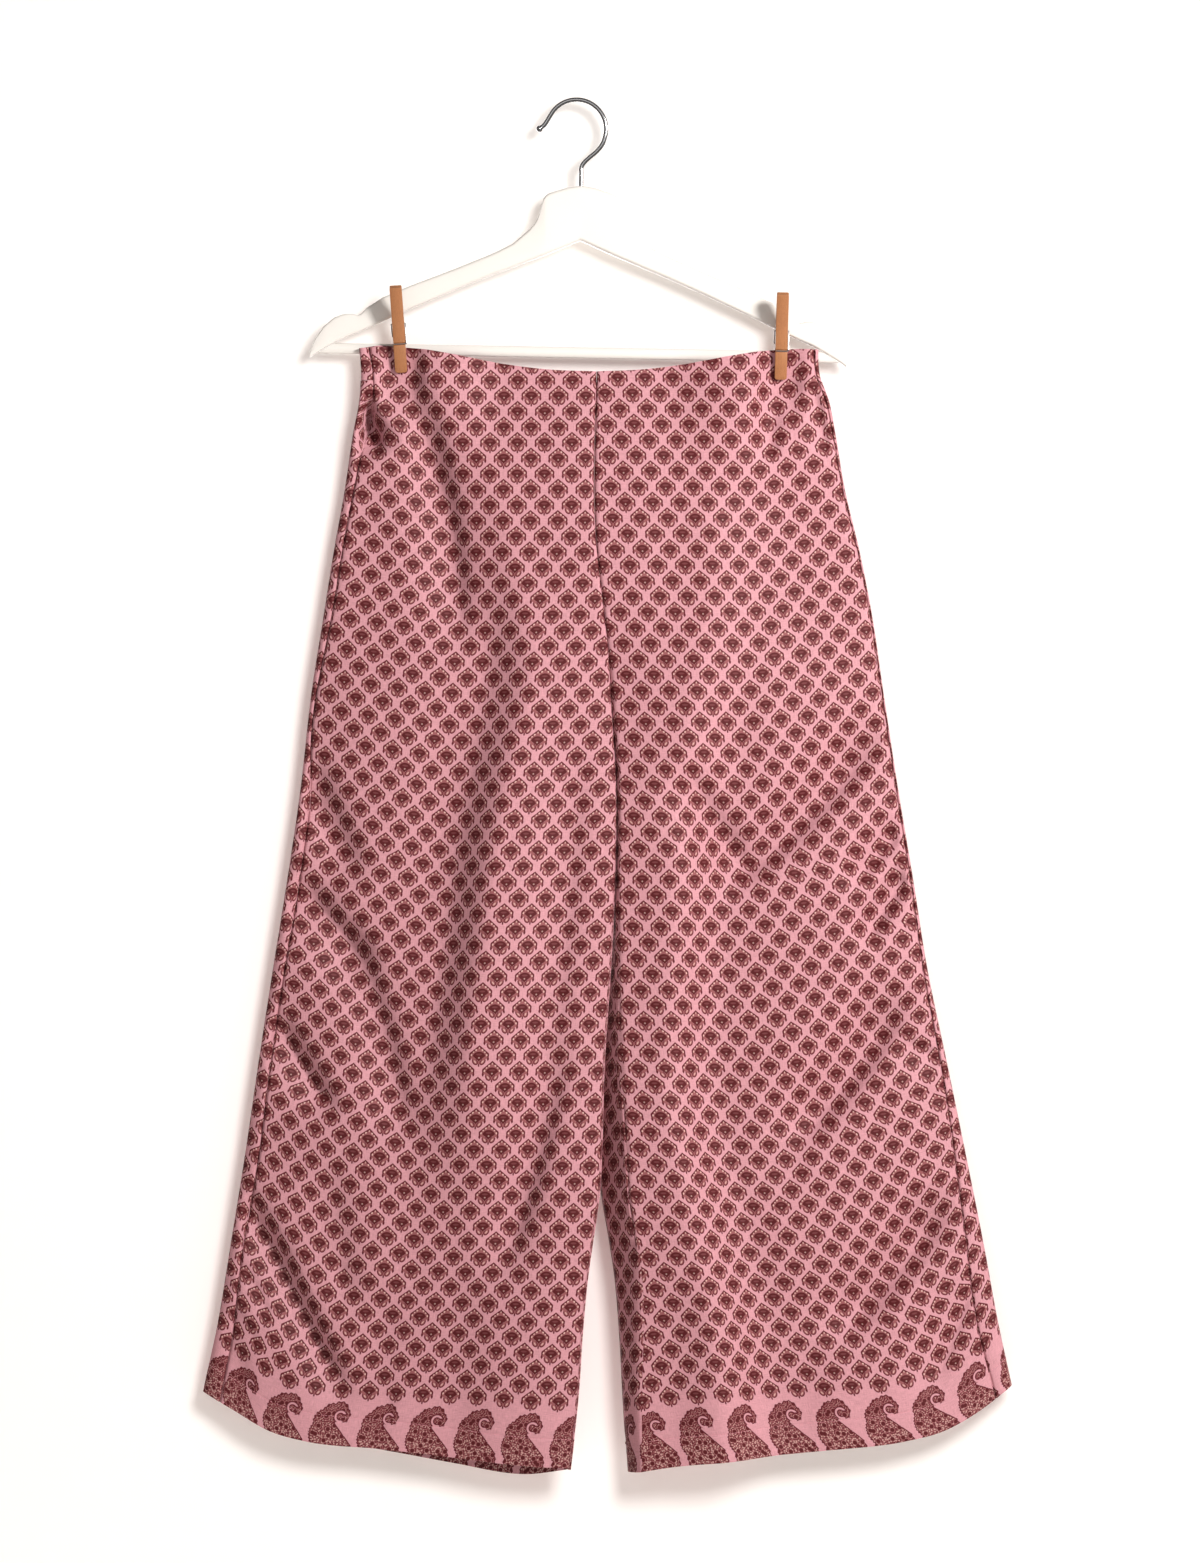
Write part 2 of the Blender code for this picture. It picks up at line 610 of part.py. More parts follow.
def back_casing(name):
    levels = np.linspace(0, CASING_LEVELS, 4)
    shares = (np.arange(CASING_GATHERS * 4) + 0.5) / (CASING_GATHERS * 4)
    halves = []
    for leg in (0, 1):
        _, side_share, half_gap = seam_turns(leg, levels)
        start = turn_at(side_share + half_gap)
        wrap = [start + (1 - start) * k for k in (0, *ROUND_SHARES, 1)]
        over = [np.full(len(levels), 2 - turn_at(s)) for s in shares[::-1]]
        turn = np.stack(wrap + over, axis=-1)
        walls = np.full(len(levels), CLOTH_WALL)
        halves.append(cloth_wall(leg, turn, levels[:, None], walls, GATHER_HEIGHT))
    (left_outer, left_inner), (right_outer, right_inner) = halves
    outer = np.concatenate([left_outer, right_outer[:, ::-1]], axis=1)
    inner = np.concatenate([left_inner, right_inner[:, ::-1]], axis=1)
    return grid_shell(name, outer, inner, "satin_print")


# ---------------------------------------------------------------- hanger

HANGER_TURN = Matrix.Rotation(math.radians(HANGER_TILT), 4, "Y")


def rounded_section(x, top, bottom, depth):
    """A ring round a slice of the hanger: flat in front and behind, soft at its corners."""
    high, deep = (bottom - top) / 2, depth / 2
    corner = min(HANGER_CORNER, high * 0.8, deep * 0.8)
    middle = -(top + bottom) / 2
    ring = []
    for quarter, (sy, sz) in enumerate(((-1, 1), (-1, -1), (1, -1), (1, 1))):
        for k in range(3):
            a = math.pi / 2 * (quarter + k / 2)
            y = sy * (deep - corner) - corner * math.sin(a)
            z = sz * (high - corner) + corner * math.cos(a)
            ring.append(HANGER_TURN @ Vector((x, y, middle + z)))
    return ring


def hanger_body():
    rows = [(-out, top, low, deep) for out, top, low, deep in reversed(HANGER_ARM)]
    rows += HANGER_ARM[1:]
    rings = [rounded_section(HANGER_MIDDLE + x, top, low, deep) for x, top, low, deep in rows]
    return rings_solid("hanger_body", rings, "white_lacquer")


def hanger_bar():
    sides = 16
    rings = []
    for x_side in (-1, 0, 1):
        ring = []
        for k in range(sides):
            a = 2 * math.pi * k / sides
            drop = BAR_DROP - BAR_HEIGHT / 2 * math.cos(a)
            out = BAR_REACH + (drop - BAR_DROP) * BAR_END_SLANT
            point = (HANGER_MIDDLE + x_side * out, BAR_DEPTH / 2 * math.sin(a), -drop)
            ring.append(HANGER_TURN @ Vector(point))
        rings.append(ring)
    return rings_solid("hanger_bar", rings, "white_lacquer")


def hanger_hook():
    middle_drop = HOOK_RADIUS - HOOK_WIRE / 2
    first, last, step = HOOK_ARC
    path = list(HOOK_STEM)
    for angle in range(first, last + 1, step):
        a = math.radians(angle)
        path.append((HOOK_RADIUS * math.cos(a), middle_drop - HOOK_RADIUS * math.sin(a)))
    path += HOOK_TIP
    path = smooth_path([HANGER_TURN @ Vector((out, 0, -drop)) for out, drop in path], 2)
    rings = tube_rings(path, HOOK_WIRE / 2, 10)
    # The wire ends in a small rounded bead.
    end, ahead = path[-1], (path[-1] - path[-2]).normalized()
    last_ring = rings[-1]
    for along, radius in HOOK_BEAD:
        wider = 2 * radius / HOOK_WIRE
        rings.append([end + ahead * along + (p - end) * wider for p in last_ring])
    return rings_solid("hanger_hook", rings, "chrome")


# ---------------------------------------------------------------- pegs


def peg_place(x, lean):
    """The matrix that puts a peg's pivot and middle plane where it grips the bar at x."""
    grip_y = -(CLIPPED + PEG_CLEARANCE) / 2
    pivot_y = grip_y - PEG_ABOVE_BAR * math.tan(math.radians(PEG_LEAN))
    place = Matrix.Translation((x, pivot_y, -bar_drop(x) + PEG_ABOVE_BAR))
    sway = Matrix.Translation((0, 0, -PEG_ABOVE_BAR)) @ Matrix.Rotation(math.radians(lean), 4, "Y")
    sway = sway @ Matrix.Translation((0, 0, PEG_ABOVE_BAR))
    return place @ sway @ Matrix.Rotation(math.radians(PEG_LEAN), 4, "X")


def leg_turn(front):
    """A leg's own turn about the pivot, with its outer face towards -Y in front and +Y behind."""
    flip = Matrix.Identity(4) if front else Matrix.Rotation(math.pi, 4, "Z")
    return flip @ Matrix.Rotation(math.radians(-PEG_OPEN), 4, "X")


def peg_leg(name, place, front):
    hollow = SPRING_RADIUS + SPRING_WIRE / 2 + SPRING_CLEARANCE + 0.1
    angles = [math.radians(a) for a in (-60, -30, 0, 30, 60)]
    outline = [(PEG_INNER, -PEG_JAW), (PEG_INNER, -hollow)]
    outline += [(PEG_INNER + hollow * math.cos(a), hollow * math.sin(a)) for a in angles]
    outline += [(1.0, hollow), (PEG_HANDLE_INNER, PEG_HANDLE)]
    outline += PEG_OUTSIDE
    turn = place @ leg_turn(front)
    rings = []
    for x in (-PEG_WIDTH / 2, PEG_WIDTH / 2):
        rings.append([turn @ Vector((x, -out, up)) for out, up in outline])
    return rings_solid(name, rings, "beech_wood", smooth=False)


def peg_spring(name, place):
    reach = PEG_WIDTH / 2 + SPRING_WIRE / 2 + SPRING_CLEARANCE
    groove_out = PEG_GROOVE_OUT + SPRING_CLEARANCE + SPRING_WIRE / 2
    ends = []
    for side, front in ((1, True), (-1, False)):
        groove = leg_turn(front) @ Vector((0, -groove_out, -PEG_GROOVE))
        arm = [Vector((side * (1.2 - reach), groove.y, groove.z))]
        for inwards, share, lift in SPRING_ARM:
            arm.append(Vector((side * (reach - inwards), groove.y * share, groove.z * share + lift)))
        for inwards in SPRING_ENTRY:
            arm.append(Vector((side * (reach - inwards), 0, -SPRING_RADIUS)))
        ends.append(arm)
    coil = []
    steps = 9
    for k in range(SPRING_TURNS * steps + 1):
        a = 2 * math.pi * k / steps
        x = SPRING_PITCH * (SPRING_TURNS / 2 - k / steps)
        coil.append(Vector((x, -SPRING_RADIUS * math.sin(a), -SPRING_RADIUS * math.cos(a))))
    path = ends[0] + coil + ends[1][::-1]
    path = [place @ p for p in path]
    return rings_solid(name, tube_rings(path, SPRING_WIRE / 2, 6), "spring_steel")


# ---------------------------------------------------------------- the whole part


def make_materials():
    for name, (colour, roughness, metallic) in MATERIALS.items():
        material = bpy.data.materials.new(name)
        material.use_nodes = True
        shader = material.node_tree.nodes["Principled BSDF"]
        shader.inputs["Base Color"].default_value = colour
        shader.inputs["Roughness"].default_value = roughness
        shader.inputs["Metallic"].default_value = metallic
        material.diffuse_color = colour


def main():
    for item in list(bpy.data.objects):
        bpy.data.objects.remove(item)
    make_materials()
    front_panel("front_left", 0)
    front_panel("front_right", 1)
    back_panel("back_left", 0)
    back_panel("back_right", 1)
    back_casing("back_waist_casing")
    hanger_body()
    hanger_bar()
    hanger_hook()
    for side, x, lean in PEGS:
        place = peg_place(x, lean)
        peg_leg(f"peg_{side}_front", place, True)
        peg_leg(f"peg_{side}_back", place, False)
        peg_spring(f"peg_{side}_spring", place)


main()
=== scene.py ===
"""Palazzo pants pegged to a clothes hanger: cloth, sewing, hanger, pegs and the stage round them.

+Z is up, the front of the pants faces -Y and +X is the viewer's right, so "left" and "right" are
as seen from the front. The origin is the inside top of the hook. Sizes in the tables are in
millimetres, and a "drop" is a distance below the origin. The settings are in metres.
"""

import math

import bmesh
import bpy
import numpy as np
from bpy.props import FloatProperty, FloatVectorProperty, PointerProperty
from mathutils import Matrix, Vector


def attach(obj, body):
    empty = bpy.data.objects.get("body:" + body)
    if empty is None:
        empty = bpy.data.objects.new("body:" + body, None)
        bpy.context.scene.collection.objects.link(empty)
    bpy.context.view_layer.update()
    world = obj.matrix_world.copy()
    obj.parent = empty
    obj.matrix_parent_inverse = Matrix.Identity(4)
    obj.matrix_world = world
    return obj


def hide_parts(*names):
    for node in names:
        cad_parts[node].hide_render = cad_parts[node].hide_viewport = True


bl_info = {
    "name": "Pegged palazzo pants",
    "version": (1, 0, 0),
    "blender": (4, 5, 0),
    "location": "View3D > Sidebar > Pants",
    "description": "Printed satin pants pegged to a wooden hanger, piece by piece",
    "category": "Object",
}

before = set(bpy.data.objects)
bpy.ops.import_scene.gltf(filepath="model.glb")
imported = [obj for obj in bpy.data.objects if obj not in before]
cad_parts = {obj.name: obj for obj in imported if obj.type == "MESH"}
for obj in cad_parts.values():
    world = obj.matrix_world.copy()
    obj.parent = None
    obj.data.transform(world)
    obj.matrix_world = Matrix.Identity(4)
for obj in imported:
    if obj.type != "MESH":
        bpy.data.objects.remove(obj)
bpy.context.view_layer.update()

MM = 0.001

# ---------------------------------------------------------------- form of the cloth

SEAM_TOUCH = 0.03         # the finished pieces meet this close
CASING_LEVELS = 0.031       # share of the height that the elastic casing takes
CASING_GATHERS = 20         # on each half of the back waist
GATHER_HEIGHT = 1.1
SIDE_FULLNESS = 1.7         # the side edges are folded rounder than the solids'
INNER_FOLD_ROUND = 1.8      # the inner edges are folded this sharply from the crotch down
RECESS = (12.0, 0.8)        # how far the right leg's inner edge lies back, and more for each
RECESS_REACH = 4.5          # millimetre between it and its seam. It reaches out at least so far
RECESS_STARTS = (430, 560)
LAYER_ROOM = 2.6            # least room between the outer faces of front and back

HANGER_TILT = 1.05
HANGER_MIDDLE = 4.8
BAR_DROP = 208.3
BAR_HEIGHT = 9.0
BAR_DEPTH = 5.0
BAR_REACH = 209.2
BAR_END_SLANT = 1.667
HANGER_CORNER = 3.0

HOOK_WIRE = 3.6
HOOK_RADIUS = 24.5
NECK_TOP = 70.0

PEG_WIDTH = 10.0
PEG_JAW = 42.5
PEG_HANDLE = 29.5
PEG_ABOVE_BAR = 22.2
PEG_OPEN = 12.7
PEG_LEAN = 25.5
PEG_INNER = 0.15
PEG_HANDLE_INNER = 6.7
PEG_GROOVE = 18.0
PEG_GROOVE_OUT = 4.0
SPRING_WIRE = 1.0
SPRING_RADIUS = 2.2
SPRING_TURNS = 3
SPRING_PITCH = 1.35
SPRING_CLEARANCE = 0.35
SPRING_STEPS = 9            # points of the path in each turn
HOLLOW_ROOM = 0.1           # between the spring's clearance and the wood
SAME_PLACE = 0.01
WORN_FROM = 35              # degrees between faces at an edge that is worn
GRAIN_APART = (37.0, 11.0, 0.0)  # from one leg's grain to the next one's

PEG_CLEARANCE = 1.4
CLIPPED = 3.4               # thickness of both layers where a peg clips them
BAR_FACE = 2.8              # from the bar's middle to the cloth in front of it
PEG_DENT = 18.0             # half width of the dent that a peg presses
PRESS_ENDS = (22, 75)       # below the bar, where a peg's press fades
PUSH_STARTS = 3             # below the bar, where a jaw starts to push the cloth back
PUSH_ENDS = (24, 80)
BEHIND_ENDS = (22, 130)     # below the bar, where the cloth no longer lies before it
BAR_PASSES = ((0.38, 0.70), (0.30, 0.62))  # shares where each leg's cloth passes the bar

PEGS = (  # name, x at the bar, lean in the hanger's plane in degrees
    ("left", -146.8, -3.4),
    ("right", 169.2, 1.1),
)

SIDES = (  # drop, left leg, right leg
    (200, -181.0, 200.0),
    (228, -179.0, 201.5),
    (250, -180.5, 209.0),
    (273, -185.0, 213.5),
    (322, -192.5, 222.0),
    (372, -201.5, 234.0),
    (422, -209.5, 244.0),
    (492, -220.5, 254.5),
    (571, -229.5, 266.5),
    (646, -240.5, 279.0),
    (721, -252.5, 291.0),
    (795, -264.0, 306.5),
    (870, -275.0, 322.0),
    (945, -287.0, 337.0),
    (1020, -299.5, 351.0),
    (1068, -310.0, 361.5),
    (1150, -326.0, 377.0),
)
INNER_EDGES = (  # drop, left leg, right leg
    (200, 16.6, 16.6),
    (372, 16.6, 16.6),
    (422, 22.8, 21.8),
    (455, 26.6, 24.8),
    (492, 28.5, 26.5),
    (571, 32.8, 30.8),
    (646, 31.8, 29.8),
    (721, 27.6, 25.6),
    (795, 22.6, 20.6),
    (870, 20.3, 18.8),
    (899, 18.9, 19.6),
    (945, 12.8, 26.8),
    (970, 9.2, 30.6),
    (1020, 4.4, 35.0),
    (1068, 1.2, 37.6),
    (1150, -8.0, 43.0),
)
FORM = (  # drop, half depth, edge radius, parted
    (200, 9.0, 3.5, 0.0),
    (250, 10.5, 3.5, 0.0),
    (322, 12.5, 4.0, 0.0),
    (372, 13.5, 4.5, 0.0),
    (422, 14.5, 5.0, 0.3),
    (455, 15.0, 5.0, 0.68),
    (492, 15.5, 5.0, 1.0),
    (571, 16.5, 5.0, 1.0),
    (721, 18.0, 5.0, 1.0),
    (870, 20.0, 5.5, 1.0),
    (1020, 22.5, 6.0, 1.0),
    (1150, 24.5, 6.0, 1.0),
)
SEAM_INSETS = (  # drop, left side, right side, right inner leg
    (200, 8.0, 4.0, 0.0),
    (250, 11.0, 2.5, 0.0),
    (322, 7.5, 1.6, 0.0),
    (422, 7.0, 1.4, 0.0),
    (530, 4.5, 1.4, 0.0),
    (580, 9.0, 1.6, 0.0),
    (646, 10.5, 2.2, 3.5),
    (721, 10.0, 3.6, 9.0),
    (830, 11.0, 7.0, 19.5),
    (870, 12.0, 9.5, 22.5),
    (899, 12.0, 11.5, 23.0),
    (945, 11.0, 14.5, 21.0),
    (970, 11.5, 16.5, 18.5),
    (1020, 14.5, 18.0, 14.5),
    (1068, 16.0, 16.0, 11.5),
    (1150, 17.0, 14.0, 8.5),
)
WAIST_EDGE = (  # share, front left, front right, back left, back right
    (0.00, 224.3, 224.3, 232.0, 232.0),
    (0.20, 222.8, 222.8, 231.0, 231.0),
    (0.40, 218.0, 218.4, 227.0, 227.0),
    (0.60, 210.6, 212.0, 219.0, 220.5),
    (0.80, 204.6, 206.6, 205.5, 208.0),
    (0.90, 204.0, 205.8, 202.6, 206.0),
    (1.00, 205.0, 206.2, 205.0, 206.2),
)
HEM_EDGE = (  # share, front left, front right, back left, back right
    (0.00, 1130.5, 1135.5, 1132.5, 1136.0),
    (0.10, 1129.0, 1129.5, 1138.0, 1130.0),
    (0.30, 1122.8, 1123.0, 1131.8, 1122.0),
    (0.50, 1115.8, 1117.0, 1121.5, 1115.0),
    (0.70, 1109.8, 1109.8, 1110.5, 1108.0),
    (0.80, 1101.8, 1102.0, 1102.0, 1101.5),
    (0.90, 1086.0, 1086.0, 1086.5, 1086.5),
    (1.00, 1070.0, 1065.0, 1070.0, 1065.0),
)
FORWARD = (  # drop, forward, left x, left half width, right x, right half width
    (200, 0.0, -105.0, 26.0, 135.0, 30.0),
    (235, 0.0, -105.0, 26.0, 135.0, 30.0),
    (272, 4.0, -100.0, 26.0, 135.0, 30.0),
    (397, 11.0, -68.0, 24.0, 131.0, 30.0),
    (480, 16.0, -56.0, 22.0, 121.0, 29.0),
    (549, 20.0, -70.0, 20.0, 111.0, 28.0),
    (619, 23.0, -83.0, 20.0, 104.0, 27.0),
    (721, 25.0, -97.0, 21.0, 99.0, 26.0),
    (820, 25.0, -110.0, 24.0, 96.0, 27.0),
    (920, 24.0, -112.0, 30.0, 114.0, 28.0),
    (1020, 22.0, -108.0, 34.0, 135.0, 28.0),
    (1150, 20.0, -104.0, 36.0, 148.0, 30.0),
)

# From the knee down a part of the left leg's rise is spread over its inner half.
SECOND_RISE = 0.62
SECOND_STARTS = (760, 930)
SECOND_REACH = (-108, 8)
SECOND_GAIN = 1.6           # what is spread rises higher by so much

# The largest folds are those of the solids, and the creases after them are finer.
FRONT_FOLDS = (  # name, x at top, drop at top, x at foot, drop at foot, bow, half width, depth
    ("left seam pucker", -174, 240, -160, 290, 0, 8, 15.0),
    ("left peg pull", -124, 240, -90, 445, 6, 11, 8.5),
    ("left thigh foot", -60, 430, -120, 690, 0, 17, 4.0),
    ("left inner leg", 7, 536, -45, 951, 9, 13, 5.5),
    ("left inner shin", -6, 790, -56, 965, 4, 9, 6.0),
    ("left outer slant", -216, 545, -176, 640, 0, 13, 8.0),
    ("left knee slant", -228, 640, -166, 712, 0, 13, 9.0),
    ("left knee turn", -180, 690, -136, 850, 4, 12, 8.5),
    ("left calf slant", -244, 758, -198, 834, 0, 9, 9.0),
    ("left corner crease", -267, 905, -188, 1067, 0, 9, 10.0),
    ("left shin crease", -200, 881, -179, 999, 0, 13, 4.0),
    ("left corner pleat", -283, 1000, -268, 1078, 0, 8, 3.0),
    ("left hem wave", -150, 985, -164, 1118, 3, 18, 3.5),
    ("left hem swell", -76, 960, -78, 1130, 0, 24, -3.0),
    ("right peg pull", 172, 236, 163, 296, 0, 8, 6.5),
    ("right seam pucker", 202, 236, 212, 288, 0, 6, 5.0),
    ("right hip swell", 92, 330, 130, 560, 6, 26, -2.5),
    ("right knee dip", 98, 552, 150, 640, -3, 12, 9.0),
    ("right knee slant", 250, 536, 138, 650, 5, 12, 12.0),
    ("right edge slant", 274, 604, 232, 652, 0, 7, 7.0),
    ("right edge slant below", 280, 640, 242, 698, 0, 7, 9.0),
    ("right calf slant", 272, 752, 186, 868, 4, 13, 13.0),
    ("right calf dip", 160, 858, 194, 883, 0, 11, 2.5),
    ("right seam crease", 268, 776, 304, 794, 0, 8, 3.0),
    ("right corner slant", 310, 922, 222, 1026, 4, 13, 14.0),
    ("right corner pleat", 330, 985, 300, 1070, 0, 12, 3.5),
    ("right hem wave", 205, 985, 196, 1112, 0, 20, 3.0),
    ("right inner hem wave", 92, 985, 90, 1128, 0, 17, 3.0),
)
BACK_FOLDS = (  # name, x at top, drop at top, x at foot, drop at foot, bow, half width, depth
    ("left gather", -112, 238, -118, 330, 0, 12, 3.5),
    ("left mid gather", -66, 240, -64, 350, 0, 12, 3.5),
    ("left inner gather", -20, 242, -14, 340, 0, 12, 3.0),
    ("right inner gather", 52, 242, 46, 345, 0, 12, 3.0),
    ("right mid gather", 96, 240, 98, 352, 0, 12, 3.5),
    ("right gather", 138, 238, 148, 330, 0, 12, 3.5),
    ("left seat", -150, 300, -70, 470, 8, 18, 5.0),
    ("left back thigh", -62, 480, -98, 760, -5, 18, 5.5),
    ("left back shin", -108, 740, -128, 1010, 4, 20, 6.0),
    ("left back slant", -205, 560, -140, 730, 8, 14, 5.0),
    ("left back crease", -246, 880, -190, 1040, 2, 11, 5.5),
    ("left back hem wave", -226, 980, -238, 1092, 0, 16, 4.0),
    ("left back inner wave", -48, 900, -50, 1130, 0, 18, 4.0),
    ("right seat", 172, 300, 110, 480, -8, 18, 5.0),
    ("right back thigh", 104, 470, 124, 740, 5, 18, 5.5),
    ("right back shin", 130, 730, 160, 1000, -4, 20, 6.0),
    ("right back slant", 240, 600, 186, 760, -8, 14, 5.0),
    ("right back crease", 284, 860, 236, 1010, -2, 12, 5.5),
    ("right back hem wave", 262, 980, 274, 1090, 0, 16, 4.0),
    ("right back inner wave", 88, 900, 92, 1124, 0, 18, 4.0),
)
FRONT_CREASES = (  # name, x at top, drop at top, x at foot, drop at foot, bow, half width, depth
    ("left peg crease", -140, 232, -112, 330, 3, 5, 2.2),
    ("left waist tuck 1", -178, 203, -174, 221, 0, 2.2, 3.0),
    ("left waist tuck 2", -171, 202, -170, 216, 0, 2.0, 2.8),
    ("left waist tuck 3", -164, 203, -166, 224, 0, 2.4, 3.0),
    ("left waist tuck 4", -157, 204, -160, 218, 0, 1.8, 2.2),
    ("left seam tuck", -177, 240, -161, 280, 0, 4.6, 6.0),
    ("left seam tuck below", -163, 262, -146, 284, 0, 4, 3.4),
    ("left corner fold", -266, 908, -194, 1060, 0, 4, 2.4),
    ("left outer crease", -220, 566, -196, 622, 0, 4, 1.6),
    ("left shin tuck 1", -272, 917, -258, 945, 1, 3, 2.6),
    ("left shin tuck 2", -276, 962, -253, 1008, 2, 3, 2.8),
    ("left shin tuck 3", -279, 1002, -262, 1030, 0, 3, 2.0),
    ("left hem tuck", -195, 960, -188, 986, 0, 3, 1.8),
    ("left hem nip", -148, 1068, -156, 1092, 0, 3, 1.6),
    ("left knee crease", -218, 660, -176, 700, 2, 4, 1.6),
    ("left calf crease", -238, 768, -206, 824, 0, 4, 1.4),
    ("right seam nip", 272, 777, 300, 790, 0, 2.6, 2.2),
    ("right seam nip below", 289, 819, 306, 826, 0, 2.2, 1.6),
    ("right knee nip", 245, 699, 253, 704, 0, 2.4, 1.2),
    ("right corner fold", 328, 985, 301, 1058, 1, 3.4, 2.4),
    ("right calf crease", 270, 766, 210, 842, 3, 5, 1.4),
)
BACK_CREASES = (  # name, x at top, drop at top, x at foot, drop at foot, bow, half width, depth
    ("left seat crease", -146, 306, -84, 440, 8, 5, 1.8),
    ("left back knee crease", -212, 650, -160, 704, 3, 4, 1.6),
    ("left back corner fold", -250, 890, -200, 1030, 2, 4, 2.2),
    ("right seat crease", 168, 306, 118, 450, -8, 5, 1.8),
    ("right back knee crease", 232, 640, 188, 712, -3, 4, 1.6),
    ("right back corner fold", 290, 870, 246, 1000, -2, 4, 2.2),
)

# A fold's steep wall faces away from this direction, right and up, and is steepest this many half
# widths from its bottom. Its other wall runs out this many times as far.
FOLD_LEAN = (0.93, 0.37)
STEEPEST = 0.7
FOLD_RUN_OUT = 2.0
FOLD_DEPTH = 1.25
FOLD_STARTS = (-0.15, 0.25)  # shares of its length over which a fold sets in
FOLD_ENDS = (0.75, 1.15)

# Sewing and evenness of the surface.
GARMENT_LENGTH = 905.0    # top edge to hem at the middle of a leg
SEAM_DIP = 3.2            # how far the cloth turns in at a seam
SEAM_DIP_WIDTH = 0.85
SEAM_PUCKER = 0.22
SEAM_PUCKER_LENGTH = 11.0
SEAM_PUCKER_REACH = 9
SEAM_WANDER = (2.2, 37)     # how far the puckers' spacing wanders, and over what length
NO_SEAM = 99.0              # so far from a seam that it draws nothing in
SEAM_ON_EDGE = 0.5          # an inner seam nearer to the edge than this lies on it
HEM_STITCH = 23.5         # stitches above the hem's edge
HEM_GROOVE = 0.4
HEM_GROOVE_WIDTH = 0.9
HEM_STEP = 0.3            # the turned hem stands proud by so much
HEM_TURN = (HEM_STITCH - 1, HEM_STITCH + 1)  # heights between which the turned hem ends
HEM_PUCKER = 0.35
HEM_PUCKER_LENGTH = 9.5
HEM_PUCKER_REACH = 7
HEM_PUCKER_SLANT = 0.4
HEM_WANDER = (2.5, 31)
HEM_EVENNESS = (0.6, 0.4, 23)  # of the puckers: least, more, over what length
EDGE_CALM = (0, 12)         # folds fade out over this much of the cloth at its edges
RELIEF_ROOM = (0.5, 3.5)    # thicknesses of cloth between which the sewing sets in
RIPPLES = 7
RIPPLE_HEIGHT = 0.28
RIPPLE_SEED = 5
RIPPLE_ACROSS = (45, 130)
RIPPLE_DOWN = (110, 320)
RIPPLE_SWAY = 0.3
NORMAL_STEP = 0.0004

# ---------------------------------------------------------------- reading the tables


def read_smooth(table, column, at):
    """The named column of a table at the places `at`, on a smooth curve through its rows."""
    known = np.array([row[0] for row in table], float)
    value = np.array([row[column] for row in table], float)
    slope = np.gradient(value, known)
    at = np.clip(at, known[0], known[-1])
    i = np.clip(np.searchsorted(known, at) - 1, 0, len(known) - 2)
    step = known[i + 1] - known[i]
    t = (at - known[i]) / step
    return (
        value[i] * (1 + 2 * t) * (1 - t) ** 2
        + value[i + 1] * t * t * (3 - 2 * t)
        + step * (slope[i] * t * (1 - t) ** 2 + slope[i + 1] * t * t * (t - 1))
    )


def ease(value, start, end):
    """0 before start, 1 past end, and a soft step between them."""
    t = np.clip((value - start) / (end - start), 0, 1)
    return t * t * (3 - 2 * t)


def fold_depth(folds, x, drop):
    """How far the folds press the cloth in. Each has one steep wall, up and to the right."""
    depth = np.zeros(np.shape(x))
    for _, x0, drop0, x1, drop1, bow, width, sink in folds:
        run = math.hypot(x1 - x0, drop1 - drop0)
        along = ((x - x0) * (x1 - x0) + (drop - drop0) * (drop1 - drop0)) / run**2
        across = ((x - x0) * (drop1 - drop0) - (drop - drop0) * (x1 - x0)) / run
        bowed = across - bow * 4 * along * (1 - along)
        upright = (drop1 - drop0) * FOLD_LEAN[0] + (x1 - x0) * FOLD_LEAN[1]
        to_steep = math.copysign(1, upright * sink) * bowed + width * STEEPEST
        reach = np.where(to_steep > 0, width, width * FOLD_RUN_OUT)
        ends = ease(along, *FOLD_STARTS) * (1 - ease(along, *FOLD_ENDS))
        depth += sink * FOLD_DEPTH * ends * np.exp(-((to_steep / reach) ** 2))
    return depth


def forward_of(x, drop):
    """How far the cloth hangs forward of the hanger at each place."""
    forward, left_x, left_half, right_x, right_half = (
        read_smooth(FORWARD, column, drop) for column in (1, 2, 3, 4, 5)
    )
    rise = ease(x, left_x - left_half, left_x + left_half)
    second = SECOND_RISE * ease(drop, *SECOND_STARTS)
    rise = rise * (1 - second) + SECOND_GAIN * second * ease(x, *SECOND_REACH)
    fall = 1 - ease(x, right_x - right_half, right_x + right_half)
    return forward * rise * fall


# ---------------------------------------------------------------- the cloth's surface
# A place on the cloth has a leg (0 left, 1 right), a turn and a level. The turn goes round the leg:
# 0 is its inner edge, 1 its side edge, with the front between them, and 2 the inner edge again,
# reached over the back. The level is 0 at the top edge and 1 at the hem.


def turn_at(share):
    """The turn on the front at a share of the way from the inner edge to the side."""
    return 2 / math.pi * np.arcsin(np.sqrt(share))


def bar_drop(x):
    """Drop of the tilted bar's middle under a place on it."""
    tilt = math.radians(HANGER_TILT)
    return BAR_DROP * math.cos(tilt) + (x + BAR_DROP * math.sin(tilt)) * math.sin(tilt)


def edges_at(leg, face, share):
    """Drops of the top edge and the hem at a share of the way to the side."""
    tops = [read_smooth(WAIST_EDGE, column + leg, share) for column in (1, 3)]
    hems = [read_smooth(HEM_EDGE, column + leg, share) for column in (1, 3)]
    return np.where(face > 0, tops[0], tops[1]), np.where(face > 0, hems[0], hems[1])


